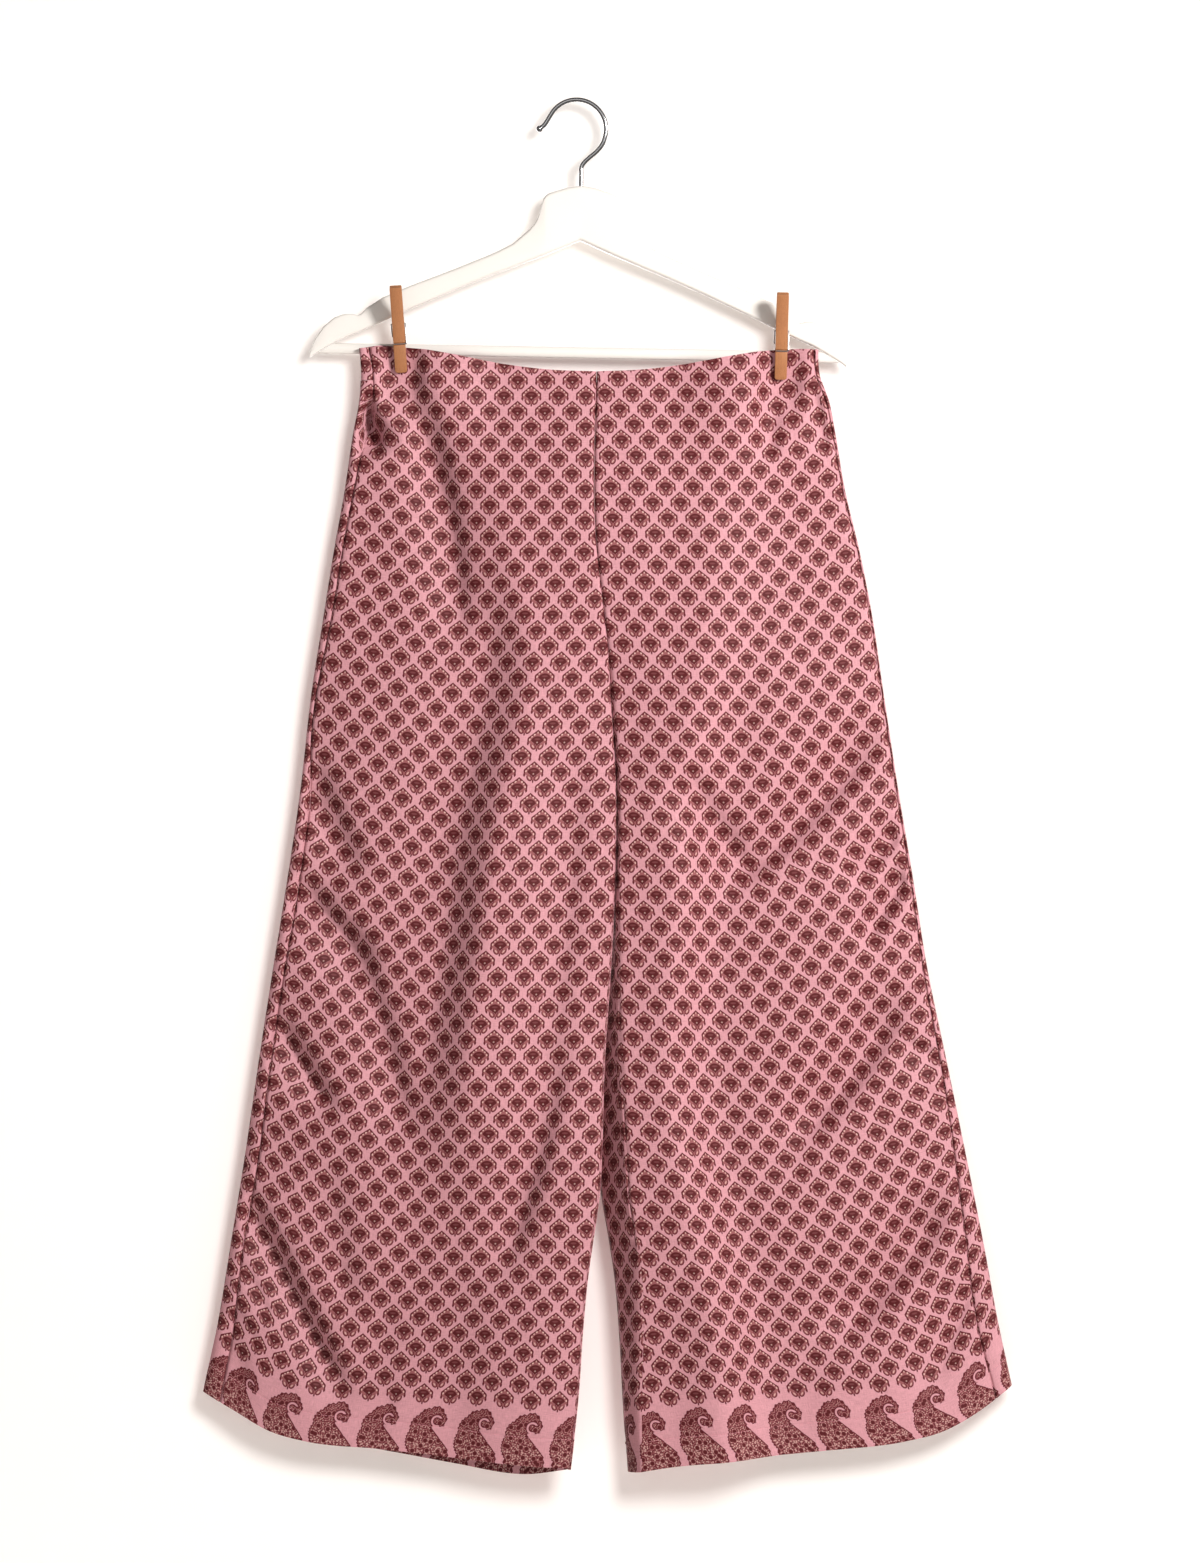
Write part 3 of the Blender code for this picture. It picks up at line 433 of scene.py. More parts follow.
def ripple(x, drop):
    """The slight unevenness of hanging satin."""
    draw = np.random.default_rng(RIPPLE_SEED)
    height = np.zeros(np.shape(x))
    for _ in range(RIPPLES):
        across, down = draw.uniform(*RIPPLE_ACROSS), draw.uniform(*RIPPLE_DOWN)
        phase, sway = draw.uniform(0, 2 * math.pi, 2)
        waved = x / across + RIPPLE_SWAY * np.sin(drop / down + sway)
        height += np.sin(2 * math.pi * waved + phase)
    return RIPPLE_HEIGHT * height / math.sqrt(RIPPLES)


def sewing_relief(leg, face, x, drop, share, width, above_hem):
    """How far seams and the hem's stitching draw the cloth in."""
    side_inset = read_smooth(SEAM_INSETS, leg + 1, drop)
    inner_inset = leg * np.maximum(read_smooth(SEAM_INSETS, 3, drop), 0)
    to_side = np.where(face > 0, width * (1 - share) - side_inset, NO_SEAM)
    to_inner = width * share - inner_inset
    to_inner = np.where((face < 0) & (inner_inset > SEAM_ON_EDGE), NO_SEAM, to_inner)
    relief = np.zeros(np.shape(x))
    for distance in (to_side, to_inner):
        relief += SEAM_DIP * np.exp(-np.abs(distance) / SEAM_DIP_WIDTH)
        wander = SEAM_WANDER[0] * np.sin(drop / SEAM_WANDER[1])
        wave = np.sin(2 * math.pi * drop / SEAM_PUCKER_LENGTH + wander)
        relief += SEAM_PUCKER * wave * np.exp(-np.abs(distance) / SEAM_PUCKER_REACH)
    from_stitch = above_hem - HEM_STITCH
    relief += HEM_GROOVE * np.exp(-((from_stitch / HEM_GROOVE_WIDTH) ** 2))
    relief -= HEM_STEP * (1 - ease(above_hem, *HEM_TURN))
    slant = (x + HEM_PUCKER_SLANT * above_hem) / HEM_PUCKER_LENGTH
    wander = HEM_WANDER[0] * np.sin(x / HEM_WANDER[1] + leg)
    least, more, length = HEM_EVENNESS
    wave = np.sin(2 * math.pi * slant + wander) * (least + more * np.sin(x / length))
    relief += HEM_PUCKER * wave * np.exp(-np.abs(from_stitch) / HEM_PUCKER_REACH)
    return relief


def cloth_faces(leg, turn, level, gathers=0.0):
    """Points on the outer face of the cloth, in millimetres."""
    share = np.sin(math.pi * turn / 2) ** 2
    face = np.where(np.sin(math.pi * turn) > 0, 1.0, -1.0)  # 1 on the front, -1 on the back
    top, hem = edges_at(leg, face, share)
    drop = top + level * (hem - top)

    outward = 1 if leg else -1
    inner = read_smooth(INNER_EDGES, leg + 1, drop) + outward * SEAM_TOUCH
    side = read_smooth(SIDES, leg + 1, drop)
    width = np.abs(side - inner)
    x = inner + share * (side - inner)

    half = read_smooth(FORM, 1, drop)
    radius = read_smooth(FORM, 2, drop)
    parted = np.clip(read_smooth(FORM, 3, drop), 0, 1)
    to_side = 1 - np.minimum(width * (1 - share) / (radius * SIDE_FULLNESS), 1)
    inner_round = radius + parted * (INNER_FOLD_ROUND - radius)
    to_inner = 1 - np.minimum(width * share / inner_round, 1)
    round_side = np.sqrt(1 - to_side**2)
    round_inner = 1 - parted * (1 - np.sqrt(1 - to_inner**2))
    swell = (1 - parted) * (1 - share**2) + parted * 4 * share * (1 - share)
    plain = radius + (half - radius) * swell
    thick = plain - radius * (1 - round_side * round_inner)

    flat = ease(width * (1 - share), *EDGE_CALM)
    flat = flat * (1 - parted * (1 - ease(width * share, *EDGE_CALM)))
    front = fold_depth(FRONT_FOLDS + FRONT_CREASES, x, drop)
    back = fold_depth(BACK_FOLDS + BACK_CREASES, x, drop)
    relief = sewing_relief(leg, face, x, drop, share, width, (1 - level) * GARMENT_LENGTH)
    relief = relief * ease(thick, *RELIEF_ROOM)

    # At the pegs and past them both layers hang in front of the bar, and a peg's front jaw presses
    # them together and back under the bar.
    below = drop - bar_drop(x)
    pressed = np.zeros(np.shape(x))
    for _, peg_x, _ in PEGS:
        pressed += np.exp(-(((x - peg_x) / PEG_DENT) ** 4))
    jaw_slope = math.tan(math.radians(PEG_LEAN - PEG_OPEN))
    pushed = pressed * jaw_slope * np.clip(below - PUSH_STARTS, 0, PUSH_ENDS[0] - PUSH_STARTS)
    pushed = pushed * (1 - ease(below, *PUSH_ENDS))
    pressed = pressed * (1 - ease(below, *PRESS_ENDS))
    plain = plain * (1 - pressed) + pressed * CLIPPED / 2
    thick = thick * (1 - pressed) + pressed * CLIPPED / 2 * round_side
    held = ease(share, *BAR_PASSES[leg]) * (1 - ease(below, *BEHIND_ENDS))
    seam = np.maximum(read_smooth(SEAM_INSETS, 3, drop), 0)
    recess = leg * ease(drop, *RECESS_STARTS) * (RECESS[0] + RECESS[1] * seam)
    recess = recess * (1 - np.minimum(width * share / np.maximum(seam, RECESS_REACH), 1))
    middle = pushed - (BAR_FACE + plain) * held - forward_of(x, drop) + recess
    gather = gathers * (np.cos(2 * math.pi * CASING_GATHERS * share) - 1) * flat

    # Where the front's folds are deeper than the room behind them, they push the back out.
    front = flat * (1 - pressed) * (front + ripple(x, drop))
    back = flat * (1 - pressed) * (back + ripple(-x, drop))
    back = np.minimum(back, 2 * thick - LAYER_ROOM - front)
    sink = np.where(face > 0, front, back) + (1 - pressed) * (relief - gather)
    y = middle - face * (thick - sink)
    return np.stack([x, y, -drop], axis=-1)


def cloth_normals(leg, turn, level, gathers=0.0):
    """Unit vectors that point out of the cloth's outer face."""
    steps = (NORMAL_STEP, -NORMAL_STEP)
    ahead, behind = (cloth_faces(leg, turn + s, level, gathers) for s in steps)
    below, above = (cloth_faces(leg, turn, level + s, gathers) for s in steps)
    return outward_of(leg, ahead - behind, below - above)


def outward_of(leg, around, down):
    """Unit vectors out of the cloth, from the directions round the leg and down it."""
    normal = np.cross(around, down)
    normal /= np.linalg.norm(normal, axis=-1, keepdims=True)
    return normal * (-1 if leg else 1)


def seam_shares(leg, level):
    """Shares of the inner and the side seam on the front, and the width, in each row."""
    drop = read_smooth(WAIST_EDGE, leg + 1, 1.0)
    drop = drop + level * (read_smooth(HEM_EDGE, leg + 1, 1.0) - drop)
    width = np.abs(read_smooth(SIDES, leg + 1, drop) - read_smooth(INNER_EDGES, leg + 1, drop))
    side_share = 1 - read_smooth(SEAM_INSETS, leg + 1, drop) / width
    inner_share = leg * np.maximum(read_smooth(SEAM_INSETS, 3, drop), 0) / width
    return inner_share, side_share, width


# ---------------------------------------------------------------- lie of the print

COLUMN_LINES = (  # drop, left x, right x: one column of the print on each leg
    (218, -60.0, 67.0),
    (422, -64.0, 81.0),
    (472, -68.0, 86.0),
    (621, -85.0, 104.0),
    (771, -100.0, 121.0),
    (870, -107.0, 137.0),
    (970, -114.5, 158.0),
    (1070, -127.0, 183.0),
    (1140, -137.0, 204.0),
)
# Outwards of these lines the printed rows climb towards the side.
ROW_TURNS = (  # leg, x at the top, x at the hem, further climb in degrees, drops where it sets in
    (0, -113.0, -113.0, 8.0, (200, 320)),
    (0, -205.0, -205.0, 10.0, (690, 800)),
    (0, -246.0, -246.0, 5.0, (950, 1020)),
    (1, 146.0, 186.0, 7.0, (150, 200)),
    (1, 252.0, 252.0, 4.5, (740, 800)),
    (1, 293.0, 293.0, 8.0, (840, 900)),
)
TURN_SOFTNESS = 9.0
TURN_SPREADS = (700, 1070)          # drops over which a line moves to its place at the hem
PRINT_HEM_DROPS = (1131.0, 1123.0)  # drop of the hem where the column lines meet it
TURNED_UP = (  # share, left leg, right leg: how much of the border is turned up with the hem
    (0.00, 0.3, -2.5),
    (0.10, 0.5, -3.0),
    (0.25, 1.5, -2.0),
    (0.40, 4.7, 0.5),
    (0.52, 7.3, 2.0),
    (0.75, 7.0, 3.8),
    (0.90, 4.0, 4.0),
    (1.00, 2.0, 4.0),
)
ROW_SHIFTS = (0.0, 5.7)             # of the rows of each leg
BORDER_SHIFTS = (8.8, 24.4)         # of the paisleys of each leg, from the column lines
HEM_FOLLOWS = 300.0                 # height over which the rows take up the hem's line
OTHER_FACE = 1e9                    # a distance that keeps the other face's columns out


def row_lift(leg, x, drop):
    """How far a printed row has climbed at each place, and its slope."""
    lift, slope = np.zeros(np.shape(x)), np.zeros(np.shape(x))
    outward = 1 if leg else -1
    climbed = 0.0
    for of_leg, top_x, hem_x, degrees, sets_in in ROW_TURNS:
        if of_leg != leg:
            continue
        rise = math.tan(math.radians(climbed + degrees)) - math.tan(math.radians(climbed))
        climbed += degrees
        at = top_x + (hem_x - top_x) * ease(drop, *TURN_SPREADS)
        past = outward * (x - at) / TURN_SOFTNESS
        grown = rise * ease(drop, *sets_in)
        lift += grown * TURN_SOFTNESS * np.logaddexp(0, past)
        slope += grown / (1 + np.exp(-past))
    return lift, slope


def print_places(leg, points, turn, level):
    """Places on the printed cloth: across, across for the border, and above the hem's fold."""
    x, drop = points[..., 0], -points[..., 2]
    share = np.sin(math.pi * turn / 2) ** 2
    face = np.where(np.sin(math.pi * turn) > 0, 1.0, -1.0)
    hem = edges_at(leg, face, share)[1]
    hem_x = read_smooth(INNER_EDGES, leg + 1, hem)
    hem_x = hem_x + share * (read_smooth(SIDES, leg + 1, hem) - hem_x)
    lift, slope = row_lift(leg, x, drop)
    down = drop + lift
    hem_down = hem + row_lift(leg, hem_x, hem)[0]
    hem_rise = PRINT_HEM_DROPS[leg] - hem_down + ROW_SHIFTS[leg]
    hem_rise = hem_rise - read_smooth(TURNED_UP, leg + 1, share)
    down = down + ease(drop, hem - HEM_FOLLOWS, hem) * hem_rise
    above = PRINT_HEM_DROPS[leg] - down + ROW_SHIFTS[leg]

    # Across is the length along the cloth, from the column line on the front or the back.
    step = np.diff(points, axis=1)
    flat_length = np.hypot(step[..., 0], step[..., 1])
    climb = (slope[:, 1:] + slope[:, :-1]) / 2
    outward = np.sign(np.diff(share, axis=1))
    length = (flat_length + climb * outward * step[..., 2]) / np.sqrt(1 + climb**2)
    across = np.concatenate([np.zeros((len(points), 1)), np.cumsum(length, axis=1)], axis=1)
    across *= 1 if leg else -1
    line_x = read_smooth(COLUMN_LINES, leg + 1, drop)
    over = turn[0, turn.shape[1] // 2] < 1
    for r in range(len(points)):
        on_face = (turn[r] <= 1) if over else (turn[r] >= 1) & (turn[r] <= 2)
        nearest = np.argmin(np.where(on_face, np.abs(x[r] - line_x[r]), OTHER_FACE))
        slip = abs(x[r, nearest] - line_x[r, nearest])
        side = np.sign(x[r, nearest] - line_x[r, nearest]) * (1 if over else -1)
        across[r] -= across[r, nearest] - side * slip
    return np.stack([across, across - BORDER_SHIFTS[leg], above], axis=-1)


# ---------------------------------------------------------------- settings


def length_setting(name, description, default):
    """A length that a user can change, in metres."""
    return FloatProperty(name=name, description=description, default=default, unit="LENGTH")


def colour_setting(name, description, default):
    """A colour that a user can change."""
    return FloatVectorProperty(
        name=name, description=description, default=default, subtype="COLOR"
    )


class ClothSettings(bpy.types.PropertyGroup):
    wall: length_setting("Wall", "Thickness of the satin", 0.0007)
    mesh_step: length_setting("Mesh step", "Distance between the mesh's rows and columns", 0.0032)
    repeat_across: length_setting("Repeat across", "Distance between two motifs in a row", 0.0226)
    repeat_down: length_setting("Repeat down", "Distance between two motifs in a column", 0.02597)
    border_repeat: length_setting(
        "Border repeat", "Distance between two paisleys of the border", 0.040
    )
    ground: colour_setting("Ground", "Pink of the cloth", (0.55, 0.262, 0.292))
    outline: colour_setting("Outline", "Maroon of the motifs' lines", (0.098, 0.011, 0.017))
    core: colour_setting("Core", "Darkest red, in the middle of a motif", (0.082, 0.010, 0.012))
    filling: colour_setting("Filling", "Dull red between lines", (0.250, 0.078, 0.082))
    cream: colour_setting("Cream", "Dots and crescents", (0.60, 0.37, 0.33))
    stitch_length: length_setting("Stitch", "Length of one stitch", 0.0028)
    thread: length_setting("Thread", "Width of the sewing thread", 0.00035)


class HangerSettings(bpy.types.PropertyGroup):
    lacquer: colour_setting("Lacquer", "White of the wood", (0.75, 0.715, 0.67))
    hook: colour_setting("Hook", "Colour of the plated wire", (0.60, 0.60, 0.61))


class PegSettings(bpy.types.PropertyGroup):
    wood: colour_setting("Wood", "Colour of the pegs", (0.36, 0.142, 0.050))
    dark_grain: colour_setting("Grain", "Darker wood in the grain", (0.20, 0.070, 0.025))
    edge_radius: length_setting("Edges", "Radius of the worn edges", 0.0005)
    jaw_radius: length_setting("Jaw corners", "Radius of the jaw's corners", 0.0022)


class StageSettings(bpy.types.PropertyGroup):
    camera_distance: length_setting("Camera distance", "From the lens to the hanger", 5.0)
    view_height: length_setting("View height", "Height of the view at the hanger", 1.2973)
    key_power: FloatProperty(
        name="Key light", description="Power of the soft key", default=65.5, unit="POWER"
    )
    fill: FloatProperty(name="Fill", description="Strength of the room's light", default=0.1)
    backdrop: colour_setting("Backdrop", "Colour of wall and floor", (0.92, 0.90, 0.88))


# ---------------------------------------------------------------- mesh building


def add_mesh(name, vertices, faces, material, sharp=50):
    """A smooth object of the given points, riding on the part's one body."""
    mesh = bpy.data.meshes.new(name)
    mesh.from_pydata((np.asarray(vertices, float) * MM).tolist(), [], faces)
    mesh.shade_smooth()
    mesh.set_sharp_from_angle(angle=math.radians(sharp))
    mesh.materials.append(material)
    piece = bpy.data.objects.new(name, mesh)
    bpy.context.scene.collection.objects.link(piece)
    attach(piece, "root")
    return piece


def grid_shell(name, outer, inner, material, outward):
    """A closed wall between two grids of points of the same size."""
    rows, columns = outer.shape[:2]
    vertices = np.concatenate([outer.reshape(-1, 3), inner.reshape(-1, 3)])
    below = rows * columns
    r, c = np.meshgrid(np.arange(rows - 1), np.arange(columns - 1), indexing="ij")
    a = (r * columns + c).ravel()
    quads = np.stack([a, a + 1, a + columns + 1, a + columns], axis=1)
    rim = list(range(columns))
    rim += [k * columns + columns - 1 for k in range(1, rows)]
    rim += [(rows - 1) * columns + k for k in range(columns - 2, -1, -1)]
    rim += [k * columns for k in range(rows - 2, 0, -1)]
    rim = np.array(rim)
    ahead = np.roll(rim, -1)
    sides = np.stack([ahead, rim, rim + below, ahead + below], axis=1)
    faces = np.concatenate([quads, quads[:, ::-1] + below, sides])
    if not outward:
        faces = faces[:, ::-1]
    return add_mesh(name, vertices, faces.tolist(), material)


def mark_points(piece, name, values):
    """Keeps a vector for each point, for the material to read."""
    attribute = piece.data.attributes.new(name, "FLOAT_VECTOR", "POINT")
    attribute.data.foreach_set("vector", np.asarray(values, np.float32).ravel())


def spaced(start, end, step, fine_start, fine_end):
    """Places from start to end, a step apart, with finer ones kept near both ends."""
    first = [start + f for f in fine_start]
    last = [end - f for f in fine_end[::-1]]
    count = max(2, round((last[0] - first[-1]) / step))
    middle = np.linspace(first[-1], last[0], count + 1)[1:-1]
    return np.concatenate([first, middle, last])


# ---------------------------------------------------------------- cloth pieces

SEAM_STEPS = (0.0, 0.4, 0.9, 1.6, 2.5)             # from a seam, along the cloth
FOLD_STEPS = (0.0, 0.05, 0.2, 0.5, 1.0, 1.7, 2.6, 3.7, 5.0, 7.0, 9.5)  # from a folded edge
HEM_STEPS = (0.0, 0.35, 0.9, 2.0, 4.0, 7.0, 10.0, 13.0, 16.0, 19.0, 21.0, 22.2, 22.8, 23.3, 23.7,
             24.2, 24.8, 26.0, 28.0)
TOP_STEPS = (0.0, 0.4, 1.0, 2.0)
BACK_TOP_STEPS = (0.0, 0.4, 1.0, 1.8, 3.0)
WRAP_SHARES = (0.85, 0.7, 0.55, 0.42, 0.3, 0.2, 0.1, 0.0)  # roots of the way from seam to edge
CASING_COLUMNS_A_GATHER = 10
VERY_EDGE = 0.000001
HEM_WALL = 0.35             # the turned hem's wall is thicker by so much
INNER_WRAPS_FROM = 0.3      # a seam nearer to the inner edge than this lies on the edge
SEAM_STEPS_ROOM = 6         # the steps from a seam shrink where a wrap is narrower than this
EDGE_STEPS = (0.03, 0.0003)  # of columns that have no wrap to cover


def panel_levels(step, start, start_steps):
    """Levels of a panel's rows, finer at both ends and at the hem's stitches."""
    above = spaced(0, GARMENT_LENGTH * (1 - start), step, HEM_STEPS, start_steps)
    return 1 - above[::-1] / GARMENT_LENGTH


def front_turns(leg, levels, step):
    """Turns of a front panel's columns, from its inner seam to its side seam, in each row."""
    inner_share, side_share, width = seam_shares(leg, levels)
    first = np.maximum(inner_share + SEAM_TOUCH / width, VERY_EDGE)
    last = side_share - SEAM_TOUCH / width
    run = (last - first) * width
    start = np.array(FOLD_STEPS)
    middle = np.linspace(0, 1, round(np.median(run) / step))[1:-1]
    rows = []
    for f, l, w, r in zip(first, last, width, run):
        near, far = f * w + start, l * w - np.array(SEAM_STEPS[::-1])
        rows.append(np.concatenate([near, near[-1] + middle * (far[0] - near[-1]), far]) / w)
    return turn_at(np.clip(np.array(rows), VERY_EDGE, 1))


def side_wrap(leg, levels):
    """Turns from the side seam on the front to the side edge, in each row."""
    _, side_share, width = seam_shares(leg, levels)
    inset = (1 - side_share) * width - SEAM_TOUCH
    near = inset[:, None] - np.array(SEAM_STEPS) * np.minimum(1, inset / SEAM_STEPS_ROOM)[:, None]
    rest = near[:, -1:] * np.array(WRAP_SHARES) ** 2
    return turn_at(1 - np.concatenate([near, rest], axis=1) / width[:, None])


def inner_wrap(leg, levels):
    """Turns round the inner edge to a seam on the front, or to the edge where the seam is there."""
    inner_share, _, width = seam_shares(leg, levels)
    if not leg:
        return np.full((len(levels), 1), 2 - turn_at(VERY_EDGE))
    seam = inner_share * width
    shrunk = np.minimum(1, seam / SEAM_STEPS_ROOM)[:, None]
    far = seam[:, None] - SEAM_TOUCH - np.array(SEAM_STEPS[::-1]) * shrunk
    near = far[:, :1] * np.array(WRAP_SHARES[::-1]) ** 2
    round_edge = np.maximum(np.concatenate([near, far], axis=1), 0) / width[:, None]
    to_edge = np.geomspace(*EDGE_STEPS, round_edge.shape[1]) / width[:, None]
    wraps = seam[:, None] > INNER_WRAPS_FROM
    return np.where(wraps, 2 + turn_at(round_edge), 2 - turn_at(to_edge))


def back_turns(leg, levels, step):
    """Turns of a back panel's columns: round the side edge, over the back, to the inner seam."""
    _, _, width = seam_shares(leg, levels)
    steps = np.array(FOLD_STEPS[1:])
    middle = np.linspace(0, 1, round(np.median(width) / step))[1:-1]
    rows = []
    for w in width:
        far = w - steps[::-1]
        rows.append(np.concatenate([steps, steps[-1] + middle * (far[0] - steps[-1]), far]) / w)
    over = 2 - turn_at(1 - np.array(rows))
    return np.concatenate([side_wrap(leg, levels), over, inner_wrap(leg, levels)], axis=1)


def cloth_grids(leg, turn, levels, gathers=0.0):
    """The outer face, the inner face and the places on the print, as grids of points."""
    wall = bpy.context.scene.pants_cloth.wall / MM
    level = levels[:, None]
    outer = cloth_faces(leg, turn, level, gathers)
    above = (1 - level) * GARMENT_LENGTH
    wall = wall + HEM_WALL * (1 - ease(above, *HEM_TURN))
    around, down = np.gradient(outer, axis=1), np.gradient(outer, axis=0)
    inner = outer - outward_of(leg, around, down) * wall[..., None]
    return outer, inner, print_places(leg, outer, turn, level)


def cloth_object(name, node, outer, inner, places, outward):
    """One sewn piece as a closed thin wall, with its place on the print kept at each point."""
    piece = grid_shell(name, outer, inner, satin_material(), outward)
    places = places.reshape(-1, 3)
    mark_points(piece, "print_place", np.concatenate([places, places]))
    wrong = np.zeros((len(places) * 2, 3))
    wrong[len(places):, 0] = 1
    mark_points(piece, "wrong_side", wrong)
    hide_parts(node)
    return piece


def panel(name, node, leg, turn, levels):
    """One leg's front or back panel."""
    return cloth_object(name, node, *cloth_grids(leg, turn, levels), outward=leg == 0)


# ---------------------------------------------------------------- a small language for nodes


class Flow:
    """A number or vector that passes through a material's nodes."""

    def __init__(self, tree, socket):
        self.tree = tree
        self.socket = socket

    def math(self, operation, *others):
        return number_node(self.tree, operation, self, *others)

    def __add__(self, other):
        return self.math("ADD", other)

    def __sub__(self, other):
        return self.math("SUBTRACT", other)

    def __mul__(self, other):
        return self.math("MULTIPLY", other)

    def __truediv__(self, other):
        return self.math("DIVIDE", other)


def feed(tree, socket, value):
    """Links a socket to a flow or sets its own value."""
    if isinstance(value, Flow):
        tree.links.new(value.socket, socket)
    else:
        socket.default_value = value


def number_node(tree, operation, *values):
    node = tree.nodes.new("ShaderNodeMath")
    node.operation = operation
    for socket, value in zip(node.inputs, values):
        feed(tree, socket, value)
    return Flow(tree, node.outputs[0])


def vector_node(tree, operation, *values, out="Vector"):
    node = tree.nodes.new("ShaderNodeVectorMath")
    node.operation = operation
    for socket, value in zip(node.inputs, values):
        feed(tree, socket, value)
    return Flow(tree, node.outputs[out])


def vector_of(tree, x, y, z=0.0):
    node = tree.nodes.new("ShaderNodeCombineXYZ")
    for socket, value in zip(node.inputs, (x, y, z)):
        feed(tree, socket, value)
    return Flow(tree, node.outputs[0])


def parts_of(vector):
    node = vector.tree.nodes.new("ShaderNodeSeparateXYZ")
    feed(vector.tree, node.inputs[0], vector)
    return [Flow(vector.tree, socket) for socket in node.outputs]


def attribute_of(tree, name):
    node = tree.nodes.new("ShaderNodeAttribute")
    node.attribute_name = name
    return Flow(tree, node.outputs["Vector"])


def step_down(value, start, end):
    """1 below start, 0 past end."""
    tree = value.tree
    node = tree.nodes.new("ShaderNodeMapRange")
    for socket, given in zip(node.inputs, (value, start, end, 1.0, 0.0)):
        feed(tree, socket, given)
    return Flow(tree, node.outputs[0])


def mixed(tree, share, under, over):
    """A colour with another laid over it."""
    node = tree.nodes.new("ShaderNodeMix")
    node.data_type = "RGBA"
    feed(tree, node.inputs[0], share)
    for socket, colour in ((node.inputs[6], under), (node.inputs[7], over)):
        feed(tree, socket, colour if isinstance(colour, Flow) else (*colour[:3], 1.0))
    return Flow(tree, node.outputs[2])


def noise_of(tree, vector, scale, detail=2.0, roughness=0.5):
    node = tree.nodes.new("ShaderNodeTexNoise")
    feed(tree, node.inputs["Vector"], vector)
    node.inputs["Scale"].default_value = scale
    node.inputs["Detail"].default_value = detail
    node.inputs["Roughness"].default_value = roughness
    return Flow(tree, node.outputs[0])


def ellipse(place, x, y, half_long, half_short, turn=0.0):
    """Distance to an ellipse's edge, negative inside it."""
    tree = place.tree
    node = tree.nodes.new("ShaderNodeMapping")
    node.vector_type = "TEXTURE"
    node.inputs["Location"].default_value = (x, y, 0)
    node.inputs["Rotation"].default_value = (0, 0, math.radians(turn))
    node.inputs["Scale"].default_value = (half_long, half_short, 1)
    feed(tree, node.inputs["Vector"], place)
    reach = vector_node(tree, "LENGTH", Flow(tree, node.outputs[0]), out="Value")
    return (reach - 1.0) * half_short


def half_plane(place, towards, reach):
    """Distance past a straight line, negative on the near side. Towards is in degrees."""
    a = math.radians(towards)
    ahead = (math.cos(a), math.sin(a), 0)
    return vector_node(place.tree, "DOT_PRODUCT", place, ahead, out="Value") - reach


def lower(a, b):
    return a.math("MINIMUM", b)


def higher(a, b):
    return a.math("MAXIMUM", b)


# ---------------------------------------------------------------- the print

INK_SOFTNESS = 0.13
MOTIF_SIZE = 1.045
MOTIF_TALL = 1.12
MOTIF_LINE = 0.64          # half the width of a motif's outline
MOTIF_SLOPE = (52, 5.95)   # direction in degrees and distance of the upper edge
MOTIF_SIDE = (-6, 7.75)    # and of the side
MOTIF_SHOULDER = 1.4       # roundness between the two
MOTIF_FEET = -3.1          # height of the straight lower edge
MOTIF_FLOOR = 1.2          # the filling stops so far above it
MOTIF_CORE = (0, -1.4, 5.1, 4.2)  # x, y, half length, half width
CORE_CUT = (-51.7, 3.4)

# Marks of one small motif, in the order they are printed. The right half is given, and the left
# half is the same.
MOTIF_MARKS = (  # name, ink, strength, x, y, half length, half width, turn
    ("between", "filling", 1.0, 0.0, -5.0, 1.7, 1.6, 90),
    ("lobe", "outline", 1.0, 3.0, -4.6, 2.9, 2.0, 52),
    ("lobe inside", "filling", 1.0, 3.0, -4.5, 2.1, 1.25, 52),
    ("crescent", "cream", 0.85, 2.95, -4.7, 1.25, 0.45, 52),
)
MOTIF_DETAILS = (
    ("wing", "filling", 1.0, 4.6, -2.2, 2.3, 0.75, 22),
    ("top bead", "cream", 0.75, 0.0, 5.5, 0.7, 0.5, 90),
    ("upper bead", "cream", 0.95, 2.45, 3.95, 0.78, 0.6, 140),
    ("small bead", "cream", 0.8, 4.4, 2.4, 0.7, 0.5, 140),
    ("side bead", "cream", 0.95, 6.0, 0.3, 0.85, 0.55, 105),
    ("hook", "outline", 1.0, 7.3, -2.8, 1.4, 0.62, 80),
    ("stem", "filling", 1.0, 0.0, -5.8, 1.2, 0.7, 90),
    ("tip", "outline", 1.0, 0.0, -7.3, 1.15, 0.62, 90),
)
CORE_DETAILS = (
    ("core arc", "filling", 0.35, 0.0, 0.7, 2.3, 0.7, 0),
    ("core bead", "cream", 0.55, 0.0, -1.75, 0.65, 0.58, 0),
)
LAST_ROW = 55.6            # height of the last row of motifs above the hem's fold
BORDER_CLEAR = 50.0        # no motif has its middle below this
CLEAR_EDGE = 0.5


def inked(distance):
    """1 inside a printed shape and 0 outside it, with a soft edge."""
    return step_down(distance, -INK_SOFTNESS, INK_SOFTNESS)


def ink_in(tree, inks, under, mask, ink, strength):
    """A colour with one of the inks printed over it."""
    return mixed(tree, mask * strength if strength != 1.0 else mask, under, inks[ink])


def print_marks(place, colour, marks, inks):
    """A colour with a table's marks printed over it, in their order."""
    for _, ink, strength, x, y, half_long, half_short, turn in marks:
        mask = inked(ellipse(place, x, y, half_long, half_short, turn))
        colour = ink_in(place.tree, inks, colour, mask, ink, strength)
    return colour


